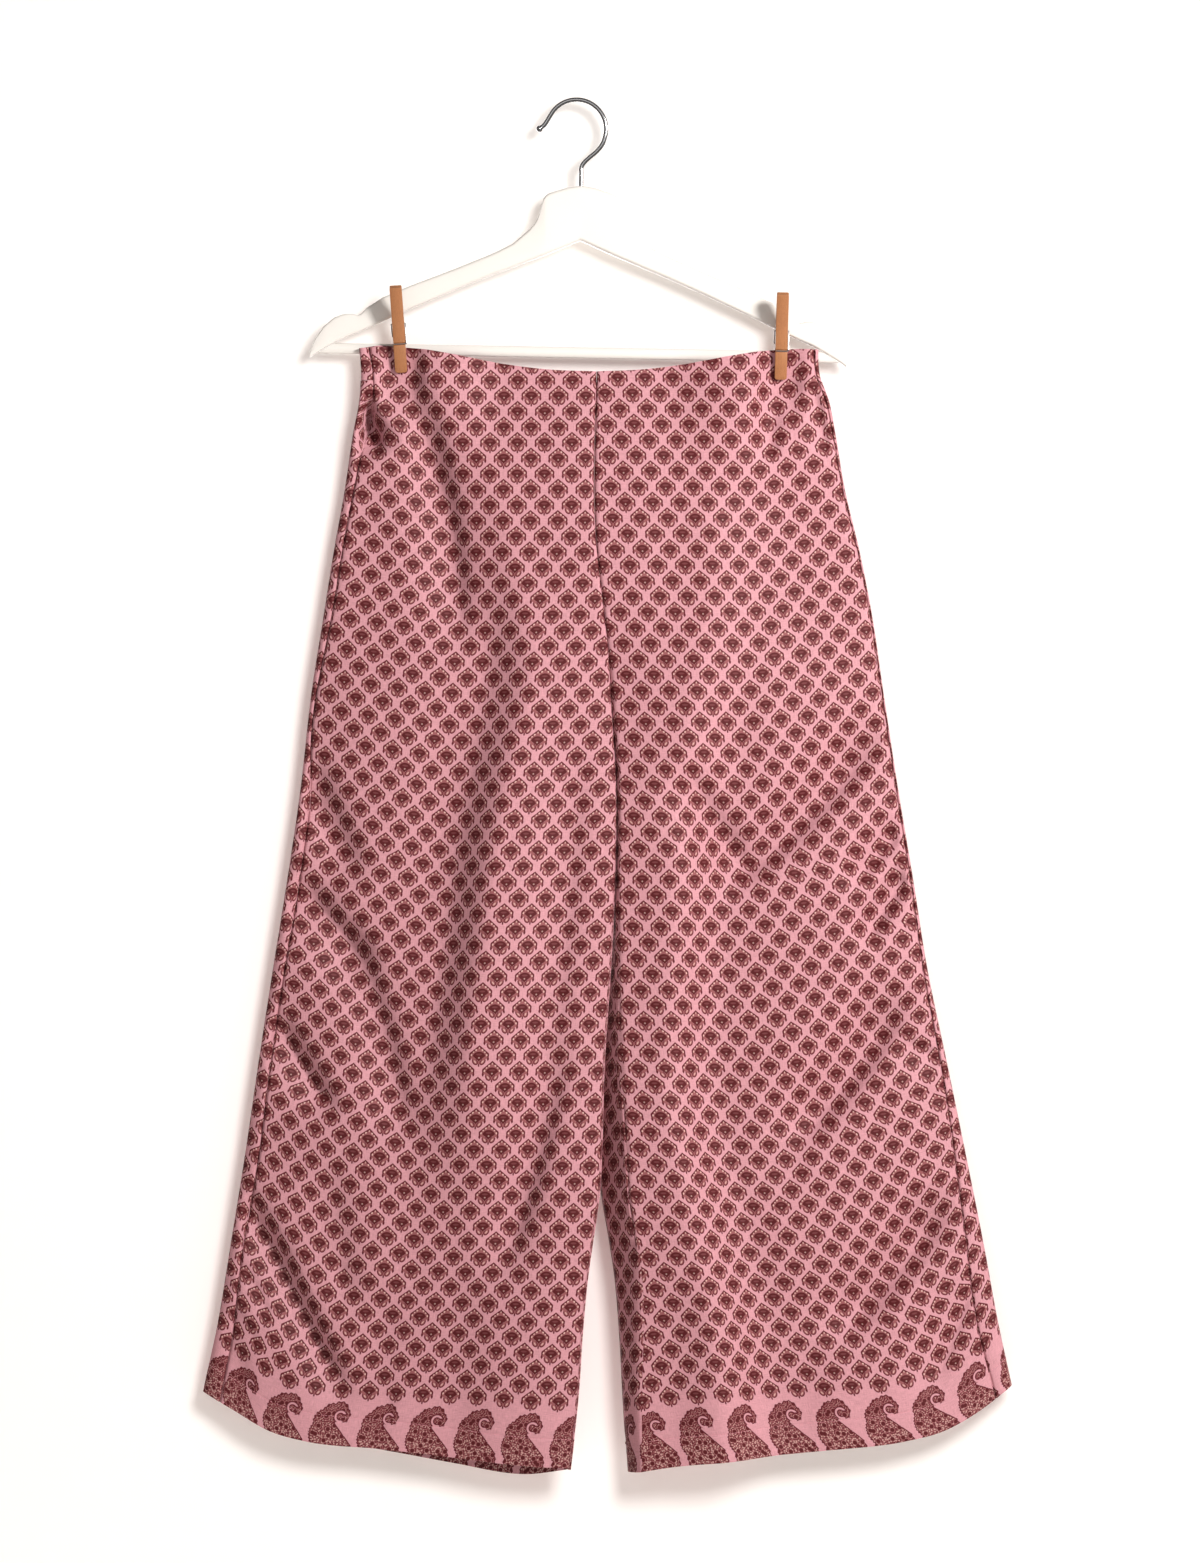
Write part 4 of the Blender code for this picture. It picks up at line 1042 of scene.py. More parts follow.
def motif_print(tree, across, above, colour, inks, cloth):
    """The small repeat: motifs in rows, every second row half a step aside."""
    wide, high = cloth.repeat_across / MM, cloth.repeat_down / MM
    cell = vector_of(tree, across / wide, (above - LAST_ROW) / high)
    half = (0.5, 0.5, 0.0)
    in_even = vector_node(
        tree, "SUBTRACT", vector_node(tree, "FRACTION", vector_node(tree, "ADD", cell, half)), half
    )
    in_odd = vector_node(tree, "SUBTRACT", vector_node(tree, "FRACTION", cell), half)
    even_x, even_y, _ = parts_of(vector_node(tree, "ABSOLUTE", in_even))
    is_odd = (even_x + even_y).math("GREATER_THAN", 0.5)
    node = tree.nodes.new("ShaderNodeMix")
    node.data_type = "VECTOR"
    feed(tree, node.inputs[0], is_odd)
    feed(tree, node.inputs[4], in_even)
    feed(tree, node.inputs[5], in_odd)
    place = vector_node(tree, "MULTIPLY", Flow(tree, node.outputs[1]), (wide, high, 0))
    x, y, _ = parts_of(place)
    place = vector_of(tree, x.math("ABSOLUTE") / MOTIF_SIZE, y / MOTIF_TALL)
    present = step_down(y - above, -BORDER_CLEAR - CLEAR_EDGE, -BORDER_CLEAR)

    slope = half_plane(place, *MOTIF_SLOPE)
    side = half_plane(place, *MOTIF_SIDE)
    body = number_node(tree, "SMOOTH_MAX", slope, side, MOTIF_SHOULDER)
    over_feet = number_node(tree, "SUBTRACT", MOTIF_FEET, y / MOTIF_TALL)
    inside = inked(higher(body, over_feet + MOTIF_FLOOR))
    line = higher((body + MOTIF_LINE).math("ABSOLUTE") - MOTIF_LINE, over_feet)

    printed = print_marks(place, colour, MOTIF_MARKS, inks)
    printed = ink_in(tree, inks, printed, inside, "filling", 1.0)
    core = higher(ellipse(place, *MOTIF_CORE), half_plane(place, *CORE_CUT))
    printed = ink_in(tree, inks, printed, inked(core), "core", 1.0)
    printed = ink_in(tree, inks, printed, inked(line), "outline", 1.0)
    printed = print_marks(place, printed, MOTIF_DETAILS + CORE_DETAILS, inks)
    return mixed(tree, present, colour, printed)


# One paisley of the border: round parts that run together, over the middle of its foot.
PAISLEY_BODY = (  # name, x, y, radius
    ("foot", 1.8, 2.0, 16.4),
    ("belly", -4.2, 15.0, 13.6),
    ("neck", -4.6, 25.6, 11.0),
)
PAISLEY_CREST = (
    ("shoulder", -1.4, 33.4, 7.6),
    ("crown", 4.6, 36.2, 6.6),
    ("hook", 9.6, 33.4, 3.7),
    ("hook end", 9.7, 29.8, 2.7),
)
PAISLEY_CURL = (5.6, 31.2)
CURL_RADIUS = 3.2
CURL_GAP = 1.5
PAISLEY_TALL = 1.04
RIGHT_EDGE = (43.0, 19.0)     # direction in degrees and distance of the straight right edge
SERRATIONS = 13.0
SERRATION = 1.0
ROSETTE = 6.4                 # distance between two flowers of the filling
SPECK = 2.1
PAISLEY_MIDDLE = (1.0, 16.0)    # the serrations run round the place so far left and up
CREST_BLEND = 1.5
CURL_CORNER = (1.2, 2.2)        # the gap round the curl closes past here
ROSETTE_EVENNESS = 0.8
PETAL_RINGS = 24.0
PETALS = (-0.6, 0.5)            # edges of the petals, of the flowers' hearts and of the specks
HEARTS = (0.2, 0.26)
SPECKS = (0.8, 1.2)
SPECK_FADES = (12.0, 36.0)      # heights over which the specks get smaller
SPECK_SIZES = (0.14, 0.16)      # the least size, and how much more there is at the foot
FLOWER_REACH = 0.33             # no speck lies further than this from a flower
SPECK_EDGE = 0.06
SPECK_INK = 0.68
RIM_INSET = 0.5
RIM = (0.35, 0.6)


def discs(place, table):
    """Distance to the nearest of several discs, negative inside one."""
    tree = place.tree
    found = None
    for _, x, y, radius in table:
        reach = vector_node(tree, "DISTANCE", place, (x, y, 0), out="Value") - radius
        found = reach if found is None else lower(found, reach)
    return found


def cells_of(tree, vector, size, randomness):
    node = tree.nodes.new("ShaderNodeTexVoronoi")
    node.voronoi_dimensions = "2D"
    node.inputs["Scale"].default_value = 1 / size
    node.inputs["Randomness"].default_value = randomness
    feed(tree, node.inputs["Vector"], vector)
    return Flow(tree, node.outputs["Distance"])


def border_print(tree, across, above, colour, inks, cloth):
    """The row of paisleys above the hem."""
    wide = cloth.border_repeat / MM
    x = number_node(tree, "WRAP", across, wide / 2, -wide / 2)
    place = vector_of(tree, x, above / PAISLEY_TALL)
    # Its outer edge is serrated, but for the straight right edge.
    angle = number_node(
        tree, "ARCTAN2", above / PAISLEY_TALL - PAISLEY_MIDDLE[1], x + PAISLEY_MIDDLE[0]
    )
    teeth = number_node(tree, "PINGPONG", angle * SERRATIONS, 1.0) * SERRATION
    body = higher(discs(place, PAISLEY_BODY) - teeth, half_plane(place, *RIGHT_EDGE))
    crest = discs(place, PAISLEY_CREST) - teeth
    whole = number_node(tree, "SMOOTH_MIN", body, crest, CREST_BLEND)

    # A gap curls round the end of the hook.
    to_curl = vector_node(tree, "DISTANCE", place, (*PAISLEY_CURL, 0), out="Value")
    ring = (to_curl - (CURL_RADIUS + CURL_GAP / 2)).math("ABSOLUTE") - CURL_GAP / 2
    right, top = (curl + corner for curl, corner in zip(PAISLEY_CURL, CURL_CORNER))
    below_curl = number_node(tree, "SUBTRACT", top, above / PAISLEY_TALL)
    in_corner = lower(x - right, below_curl)
    gap = higher(ring, in_corner)
    whole = lower(whole, to_curl - CURL_RADIUS)
    whole = higher(whole, number_node(tree, "MULTIPLY", gap, -1.0))

    mask = inked(whole)
    flowers = cells_of(tree, place, ROSETTE, ROSETTE_EVENNESS)
    petals = (flowers * PETAL_RINGS).math("SINE")
    specks = cells_of(tree, vector_of(tree, across, above), SPECK, 1.0)
    filled = mixed(tree, step_down(petals, *PETALS), inks["filling"], inks["outline"])
    filled = mixed(tree, step_down(flowers, *HEARTS), filled, inks["core"])
    size = step_down(above, *SPECK_FADES) * SPECK_SIZES[1] + SPECK_SIZES[0]
    dots = step_down(specks / size, *SPECKS)
    far_out = number_node(tree, "SUBTRACT", FLOWER_REACH, flowers)
    dots = dots * step_down(far_out, 0, SPECK_EDGE)
    filled = mixed(tree, dots * SPECK_INK, filled, inks["cream"])
    rim = step_down((whole + RIM_INSET).math("ABSOLUTE"), *RIM)
    filled = mixed(tree, rim, filled, inks["outline"])
    return mixed(tree, mask, colour, filled)


def new_material(name):
    """A material with a Principled shader, ready to be wired."""
    material = bpy.data.materials.new(name)
    material.use_nodes = True
    return material, material.node_tree, material.node_tree.nodes["Principled BSDF"]


def set_sockets(shader, values):
    """Sets constant values on a shader's own sockets."""
    for name, value in values.items():
        shader.inputs[name].default_value = value


def rough_between(tree, shader, marks, smooth, rough):
    """Lets marks on a surface vary its roughness."""
    node = tree.nodes.new("ShaderNodeMapRange")
    feed(tree, node.inputs[0], marks)
    node.inputs[3].default_value = smooth
    node.inputs[4].default_value = rough
    tree.links.new(node.outputs[0], shader.inputs["Roughness"])


def bump_of(tree, shader, height, distance, strength):
    """Raises a surface by a height that its nodes work out."""
    node = tree.nodes.new("ShaderNodeBump")
    node.inputs["Strength"].default_value = strength
    node.inputs["Distance"].default_value = distance
    feed(tree, node.inputs["Height"], height)
    tree.links.new(node.outputs[0], shader.inputs["Normal"])


SATIN_FINISH = {
    "Roughness": 0.6,
    "Specular IOR Level": 0.15,
    "Sheen Weight": 0.03,
    "Sheen Roughness": 0.4,
    "Sheen Tint": (1.0, 0.86, 0.88, 1.0),
}
THREAD_LONG, THREAD_FINE = 0.16, 2.6   # the weave's noise along a thread and across it
WEAVE = (0.72, 1.28)
WEAVE_DARK, WEAVE_LIGHT = 0.80, 1.12
WRONG_SIDE = (0.45, 0.9)               # how far the print pales inside, and the ground there
RIGHT_SIDE_ENDS = (HEM_STITCH - 0.5, HEM_STITCH + 0.5)  # heights inside the turned-up hem
SATIN_BUMP = (0.00012, 0.5)            # height in metres, strength


def satin_material():
    """Printed satin: small repeat, paisley border, threads, and a paler wrong side."""
    name = "printed_satin"
    if name in bpy.data.materials:
        return bpy.data.materials[name]
    cloth = bpy.context.scene.pants_cloth
    material, tree, shader = new_material(name)
    inks = {k: tuple(getattr(cloth, k)) for k in ("outline", "core", "filling", "cream")}
    place = attribute_of(tree, "print_place")
    across, border_across, above = parts_of(place)

    ground = tuple(cloth.ground)
    warp = noise_of(tree, vector_of(tree, across * THREAD_FINE, above * THREAD_LONG), 1.0, 1.0)
    weft = noise_of(tree, vector_of(tree, across * THREAD_LONG, above * THREAD_FINE), 1.0, 1.0)
    threads = warp + weft
    darker = tuple(c * WEAVE_DARK for c in ground)
    lighter = tuple(min(1, c * WEAVE_LIGHT) for c in ground)
    base = mixed(tree, step_down(threads, *WEAVE), lighter, darker)
    colour = motif_print(tree, across, above, base, inks, cloth)
    colour = border_print(tree, border_across, above, colour, inks, cloth)

    # The turned-up hem shows the printed side on the inside as well.
    wrong, _, _ = parts_of(attribute_of(tree, "wrong_side"))
    wrong = wrong - wrong * step_down(above, *RIGHT_SIDE_ENDS)
    colour = mixed(tree, wrong * WRONG_SIDE[0], colour, tuple(c * WRONG_SIDE[1] for c in ground))
    tree.links.new(colour.socket, shader.inputs["Base Color"])
    set_sockets(shader, SATIN_FINISH)
    bump_of(tree, shader, threads, *SATIN_BUMP)
    return material


def object_place(tree):
    """Places in the object's own metres."""
    return Flow(tree, tree.nodes.new("ShaderNodeTexCoord").outputs["Object"])


THREAD_TWIST = 2600.0
THREAD_ROUGHNESS = 0.6
THREAD_BUMP = (0.00005, 0.6)
THREAD_COLOURS = ((0.56, 0.20, 0.24), (0.72, 0.32, 0.36))


def thread_material():
    """Sewing thread with its twist."""
    material, tree, shader = new_material("sewing_thread")
    twist = noise_of(tree, object_place(tree), THREAD_TWIST, 1.0)
    colour = mixed(tree, twist, *THREAD_COLOURS)
    tree.links.new(colour.socket, shader.inputs["Base Color"])
    shader.inputs["Roughness"].default_value = THREAD_ROUGHNESS
    bump_of(tree, shader, twist, *THREAD_BUMP)
    return material


BRUSH_MARKS = (30.0, 400.0)    # scales of the lacquer's marks along the hanger and across it
BLOTCHES = 14.0
BLOTCH_DARK = 0.96
LACQUER_ROUGHNESS = (0.3, 0.45)
LACQUER_COAT = {"Coat Weight": 0.3, "Coat Roughness": 0.2}
LACQUER_BUMP = (0.00015, 0.35)


def lacquer_material():
    """White lacquer over wood, with faint brush marks and soft unevenness."""
    material, tree, shader = new_material("white_lacquer")
    hanger = bpy.context.scene.pants_hanger
    where = object_place(tree)
    x, y, z = parts_of(where)
    along, across = BRUSH_MARKS
    brushed = noise_of(tree, vector_of(tree, x * along, y * across, z * across), 1.0, 3.0)
    blotch = noise_of(tree, where, BLOTCHES, 2.0)
    white = tuple(hanger.lacquer)
    colour = mixed(tree, blotch, tuple(c * BLOTCH_DARK for c in white), white)
    tree.links.new(colour.socket, shader.inputs["Base Color"])
    rough_between(tree, shader, brushed, *LACQUER_ROUGHNESS)
    set_sockets(shader, LACQUER_COAT)
    bump_of(tree, shader, brushed, *LACQUER_BUMP)
    return material


WOOD_NOISES = (  # scale across the grain, scale along it, detail, roughness
    (1.6, 0.045, 4.0, 0.6),    # grain
    (9.0, 0.25, 2.0, 0.5),     # fine streaks
    (6.0, 0.5, 0.0, 0.5),      # pores
)
WOOD_LIGHT = 1.15
GRAIN_EDGES = (0.35, 0.65)
STREAKS = (0.35, 0.6, 0.35)    # edges and strength
PORES = (0.27, 0.33, 0.6)
WOOD_FINISH = {"Roughness": 0.5, "Coat Weight": 0.15, "Coat Roughness": 0.35}
WOOD_BUMP = (0.0002, 0.5)


def wood_material():
    """Oiled wood with long grain, pores and darker streaks."""
    material, tree, shader = new_material("peg_wood")
    pegs = bpy.context.scene.pants_pegs
    x, out, up = parts_of(attribute_of(tree, "grain_place"))
    grain, fine, pores = (
        noise_of(tree, vector_of(tree, x * wide, out * wide, up * long), 1.0, detail, roughness)
        for wide, long, detail, roughness in WOOD_NOISES
    )
    wood, dark = tuple(pegs.wood), tuple(pegs.dark_grain)
    pale = tuple(min(1, c * WOOD_LIGHT) for c in wood)
    colour = mixed(tree, step_down(grain, *GRAIN_EDGES), pale, wood)
    for marks, (start, end, strength) in ((fine, STREAKS), (pores, PORES)):
        colour = mixed(tree, step_down(marks, start, end) * strength, colour, dark)
    tree.links.new(colour.socket, shader.inputs["Base Color"])
    set_sockets(shader, WOOD_FINISH)
    bump_of(tree, shader, grain + fine, *WOOD_BUMP)
    return material


METAL_DARK = 0.9
METAL_ROUGHER = 1.8            # the marks are so much rougher than the wire
METAL_BUMP = (0.00003, 0.4)


def metal_material(name, colour, roughness, brush):
    """Plated or drawn wire, with fine marks along it."""
    material, tree, shader = new_material(name)
    marks = noise_of(tree, object_place(tree), brush, 3.0)
    tint = mixed(tree, marks, tuple(c * METAL_DARK for c in colour), colour)
    tree.links.new(tint.socket, shader.inputs["Base Color"])
    shader.inputs["Metallic"].default_value = 1.0
    rough_between(tree, shader, marks, roughness, roughness * METAL_ROUGHER)
    bump_of(tree, shader, marks, *METAL_BUMP)
    return material


# ---------------------------------------------------------------- stitches

STITCH_SIDES = 6
STITCH_RINGS = ((-1.0, 0.45), (-0.8, 0.9), (0.0, 1.0), (0.8, 0.9), (1.0, 0.45))  # along, radius
STITCH_FILL = 0.82          # share of the stitch length that shows as thread
STITCH_LIFT = 0.25          # how far a stitch stands out, in radii, and how far its ends dive
STITCH_DIVE = 1.1


def stitches(name, rows, material):
    """Rows of stitches, each row a list of (point, direction, outward) in millimetres."""
    cloth = bpy.context.scene.pants_cloth
    radius = cloth.thread / MM / 2
    reach = cloth.stitch_length / MM / 2 * STITCH_FILL
    vertices, faces = [], []
    for point, ahead, outward in rows:
        ahead = ahead / np.linalg.norm(ahead)
        across = np.cross(ahead, outward)
        across /= np.linalg.norm(across)
        up = np.cross(across, ahead)
        first = len(vertices)
        for along, share in STITCH_RINGS:
            lift = STITCH_LIFT * radius - radius * STITCH_DIVE * along**4
            for k in range(STITCH_SIDES):
                a = 2 * math.pi * k / STITCH_SIDES
                ring = across * math.cos(a) + up * math.sin(a)
                vertices.append(point + ahead * along * reach + up * lift + ring * radius * share)
        rings = len(STITCH_RINGS)
        for r in range(rings - 1):
            for k in range(STITCH_SIDES):
                a = first + r * STITCH_SIDES + k
                b = first + r * STITCH_SIDES + (k + 1) % STITCH_SIDES
                faces.append((a, b, b + STITCH_SIDES, a + STITCH_SIDES))
        faces.append(tuple(first + k for k in reversed(range(STITCH_SIDES))))
        last = first + (rings - 1) * STITCH_SIDES
        faces.append(tuple(last + k for k in range(STITCH_SIDES)))
    piece = add_mesh(name, vertices, faces, material)
    return piece


def stitch_run(leg, turns, levels, gathers=0.0):
    """Stitches spaced along a line on the cloth, given by its turns and levels."""
    cloth = bpy.context.scene.pants_cloth
    points = cloth_faces(leg, turns, levels, gathers)
    outward = cloth_normals(leg, turns, levels, gathers)
    gone = np.concatenate([[0], np.cumsum(np.linalg.norm(np.diff(points, axis=0), axis=1))])
    step = cloth.stitch_length / MM
    places = np.arange(step, gone[-1] - step, step)
    at = np.stack([np.interp(places, gone, points[:, k]) for k in range(3)], axis=1)
    out = np.stack([np.interp(places, gone, outward[:, k]) for k in range(3)], axis=1)
    ahead = np.gradient(at, axis=0)
    return list(zip(at, ahead, out))


# ---------------------------------------------------------------- hanger and pegs

HANGER_TURN = Matrix.Rotation(math.radians(HANGER_TILT), 4, "Y")

HANGER_ARM = (  # out, drop of top, drop of underside, depth
    (0.0, 70.0, 115.3, 12.0),
    (11.0, 71.6, 120.1, 12.0),
    (22.0, 75.0, 124.9, 12.0),
    (28.0, 77.2, 127.4, 12.0),
    (31.0, 80.6, 128.7, 12.0),
    (33.0, 89.0, 129.5, 12.0),
    (36.0, 99.0, 130.7, 11.8),
    (42.0, 106.6, 133.0, 11.2),
    (56.0, 119.0, 138.8, 10.0),
    (71.5, 127.0, 144.8, 9.0),
    (106.0, 141.6, 159.4, 7.4),
    (141.0, 155.6, 175.0, 6.2),
    (163.0, 165.4, 185.6, 6.0),
    (176.0, 174.0, 191.4, 6.0),
    (180.5, 179.0, 193.5, 6.0),
    (183.5, 180.8, 194.8, 6.0),
    (187.0, 179.4, 196.3, 6.0),
    (195.0, 179.6, 199.8, 6.0),
    (203.0, 182.8, 203.8, 6.0),
    (211.5, 190.2, 208.8, 6.0),
    (218.5, 200.6, 213.2, 5.6),
    (222.6, 212.0, 216.2, 5.0),
)
ARM_STEP = 2.2
CORNER_STEPS = 6
BAR_SIDES = 40
HALF_BAR_STEPS = 20

HOOK_STEM = (  # out, drop
    (4.6, NECK_TOP + 0.5),
    (4.6, 61.0),
    (4.7, 54.0),
    (8.6, 48.4),
    (16.5, 41.5),
    (21.4, 35.4),
)
HOOK_ARC = (-16, 165, 13)
HOOK_TIP = (  # out, drop
    (-26.4, 19.2),
    (-29.5, 22.0),
)
HOOK_BEAD = (  # past the wire's end, radius
    (0.25, 2.1),
    (0.5, 2.35),
    (1.1, 2.6),
    (1.7, 2.7),
    (2.3, 2.6),
    (3.0, 2.3),
    (3.5, 1.8),
    (3.9, 1.2),
    (4.1, 0.5),
)
HOOK_SIDES = 24
HOOK_STRETCHES = 6             # of the smooth path between two of its points
SPRING_SIDES = 14
SPRING_STRETCHES = 3
HOOK_FINISH = (0.12, 900.0)     # roughness, and the scale of the marks
SPRING_FINISH = (0.22, 1500.0)
SPRING_COLOUR = (0.52, 0.52, 0.53)
SECTION_CORNER = 0.8            # largest corner, as a share of half a side

PEG_OUTSIDE = (  # out, up
    (10.0, PEG_HANDLE),
    (5.4, 5.0),
    (4.6, -2.0),
    (4.8, 1.2 - PEG_GROOVE),
    (PEG_GROOVE_OUT, 0.8 - PEG_GROOVE),
    (PEG_GROOVE_OUT, -0.8 - PEG_GROOVE),
    (4.7, -1.2 - PEG_GROOVE),
    (4.4, -33.0),
    (2.7, -PEG_JAW),
)
SPRING_ARM = (  # in, share, lift
    (1.0, 1.0, 0.0),
    (0.15, 0.97, 0.4),
    (0.0, 0.85, 0.0),
    (0.0, 0.3, -0.7),
)
SPRING_ENTRY = (0.0, 0.8, 2.2)
SPRING_END = 1.2               # the wire's end lies so far in over the leg's groove
HOLLOW_ANGLES = (-60, 60, 11)  # first, last, how many
PEG_STEP = 1.0                 # from the middle plane to the wood above the hollow
JAW_SEGMENTS = 5
HANDLE_SEGMENTS = 3
HANDLE_ROUNDER = 2             # than the worn edges
WORN_SEGMENTS = 2
PEG_SHARP = 40                 # degrees between faces that are shaded apart


def rings_object(name, rings, material, node):
    """A closed solid through rings of points, with a flat cap on each end."""
    count = len(rings[0])
    vertices = [tuple(point) for ring in rings for point in ring]
    faces = [tuple(reversed(range(count))), tuple(range(len(vertices) - count, len(vertices)))]
    for r in range(len(rings) - 1):
        for c in range(count):
            a, b = r * count + c, r * count + (c + 1) % count
            faces.append((a, b, b + count, a + count))
    piece = add_mesh(name, vertices, faces, material)
    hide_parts(node)
    return piece


def tube_rings(path, radius, sides):
    """Rings of a round wire along a path, kept from twisting."""
    path = [Vector(p) for p in path]
    rings, across = [], None
    for i, point in enumerate(path):
        ahead = (path[min(i + 1, len(path) - 1)] - path[max(i - 1, 0)]).normalized()
        if across is None:
            across = ahead.orthogonal().normalized()
        across = (across - ahead * across.dot(ahead)).normalized()
        up = ahead.cross(across)
        angles = [2 * math.pi * k / sides for k in range(sides)]
        rings.append([point + radius * (across * math.cos(a) + up * math.sin(a)) for a in angles])
    return rings


def smooth_path(points, steps):
    """A Catmull-Rom curve through points, with `steps` stretches between two of them."""
    points = [Vector(p) for p in points]
    ends = [points[0] * 2 - points[1]] + points + [points[-1] * 2 - points[-2]]
    path = []
    for a, b, c, d in zip(ends, ends[1:], ends[2:], ends[3:]):
        for k in range(steps):
            t = k / steps
            bend = (2 * a - 5 * b + 4 * c - d) * t * t + (3 * b - a - 3 * c + d) * t**3
            path.append((2 * b + (c - a) * t + bend) / 2)
    return path + [points[-1]]


def rounded_section(x, top, bottom, depth):
    """A ring round a slice of the hanger: flat in front and behind, soft at its corners."""
    high, deep = (bottom - top) / 2, depth / 2
    corner = min(HANGER_CORNER, high * SECTION_CORNER, deep * SECTION_CORNER)
    middle = -(top + bottom) / 2
    ring = []
    for quarter, (sy, sz) in enumerate(((-1, 1), (-1, -1), (1, -1), (1, 1))):
        for k in range(CORNER_STEPS + 1):
            a = math.pi / 2 * (quarter + k / CORNER_STEPS)
            y = sy * (deep - corner) - corner * math.sin(a)
            z = sz * (high - corner) + corner * math.cos(a)
            ring.append(HANGER_TURN @ Vector((x, y, middle + z)))
    return ring


class PANTS_OT_hanger(bpy.types.Operator):
    """Shape the hanger's arms and its bar"""

    bl_idname = "pants.hanger"
    bl_label = "Hanger"

    def execute(self, context):
        lacquer = lacquer_material()
        outs = [row[0] for row in HANGER_ARM]
        reach = outs[-1]
        places = np.linspace(-reach, reach, 2 * round(reach / ARM_STEP) + 1)
        tops, lows, depths = (
            np.interp(np.abs(places), outs, [row[c] for row in HANGER_ARM]) for c in (1, 2, 3)
        )
        rings = [
            rounded_section(HANGER_MIDDLE + x, top, low, deep)
            for x, top, low, deep in zip(places, tops, lows, depths)
        ]
        rings_object("Arms", rings, lacquer, "hanger_body")

        rings = []
        for k in range(-HALF_BAR_STEPS, HALF_BAR_STEPS + 1):
            ring = []
            for s in range(BAR_SIDES):
                a = 2 * math.pi * s / BAR_SIDES
                drop = BAR_DROP - BAR_HEIGHT / 2 * math.cos(a)
                out = BAR_REACH + (drop - BAR_DROP) * BAR_END_SLANT
                x = HANGER_MIDDLE + k / HALF_BAR_STEPS * out
                ring.append(HANGER_TURN @ Vector((x, BAR_DEPTH / 2 * math.sin(a), -drop)))
            rings.append(ring[::-1])
        rings_object("Bar", rings, lacquer, "hanger_bar")
        return {"FINISHED"}


class PANTS_OT_hook(bpy.types.Operator):
    """Bend the hook's wire"""

    bl_idname = "pants.hook"
    bl_label = "Hook"

    def execute(self, context):
        middle_drop = HOOK_RADIUS - HOOK_WIRE / 2
        first, last, step = HOOK_ARC
        path = list(HOOK_STEM)
        for angle in range(first, last + 1, step):
            a = math.radians(angle)
            path.append((HOOK_RADIUS * math.cos(a), middle_drop - HOOK_RADIUS * math.sin(a)))
        path += HOOK_TIP
        path = [HANGER_TURN @ Vector((out, 0, -drop)) for out, drop in path]
        path = smooth_path(path, HOOK_STRETCHES)
        rings = tube_rings(path, HOOK_WIRE / 2, HOOK_SIDES)
        end, ahead = path[-1], (path[-1] - path[-2]).normalized()
        last_ring = rings[-1]
        for along, radius in HOOK_BEAD:
            wider = 2 * radius / HOOK_WIRE
            rings.append([end + ahead * along + (p - end) * wider for p in last_ring])
        chrome = metal_material("plated_wire", tuple(context.scene.pants_hanger.hook), *HOOK_FINISH)
        rings_object("Hook", rings, chrome, "hanger_hook")
        return {"FINISHED"}


def peg_place(x, lean):
    """The matrix that puts a peg's pivot and middle plane where it grips the bar at x."""
    grip_y = -(CLIPPED + PEG_CLEARANCE) / 2
    pivot_y = grip_y - PEG_ABOVE_BAR * math.tan(math.radians(PEG_LEAN))
    place = Matrix.Translation((x, pivot_y, -bar_drop(x) + PEG_ABOVE_BAR))
    sway = Matrix.Translation((0, 0, -PEG_ABOVE_BAR)) @ Matrix.Rotation(math.radians(lean), 4, "Y")
    sway = sway @ Matrix.Translation((0, 0, PEG_ABOVE_BAR))
    return place @ sway @ Matrix.Rotation(math.radians(PEG_LEAN), 4, "X")


def leg_turn(front):
    """A leg's own turn about the pivot, with its outer face towards -Y in front and +Y behind."""
    flip = Matrix.Identity(4) if front else Matrix.Rotation(math.pi, 4, "Z")
    return flip @ Matrix.Rotation(math.radians(-PEG_OPEN), 4, "X")


def rounded_edges(shape, edges, offset, segments):
    """Rounds some edges of a solid that is being carved."""
    bmesh.ops.bevel(
        shape, geom=edges, offset=offset, segments=segments, profile=0.5, affect="EDGES",
        clamp_overlap=True,
    )


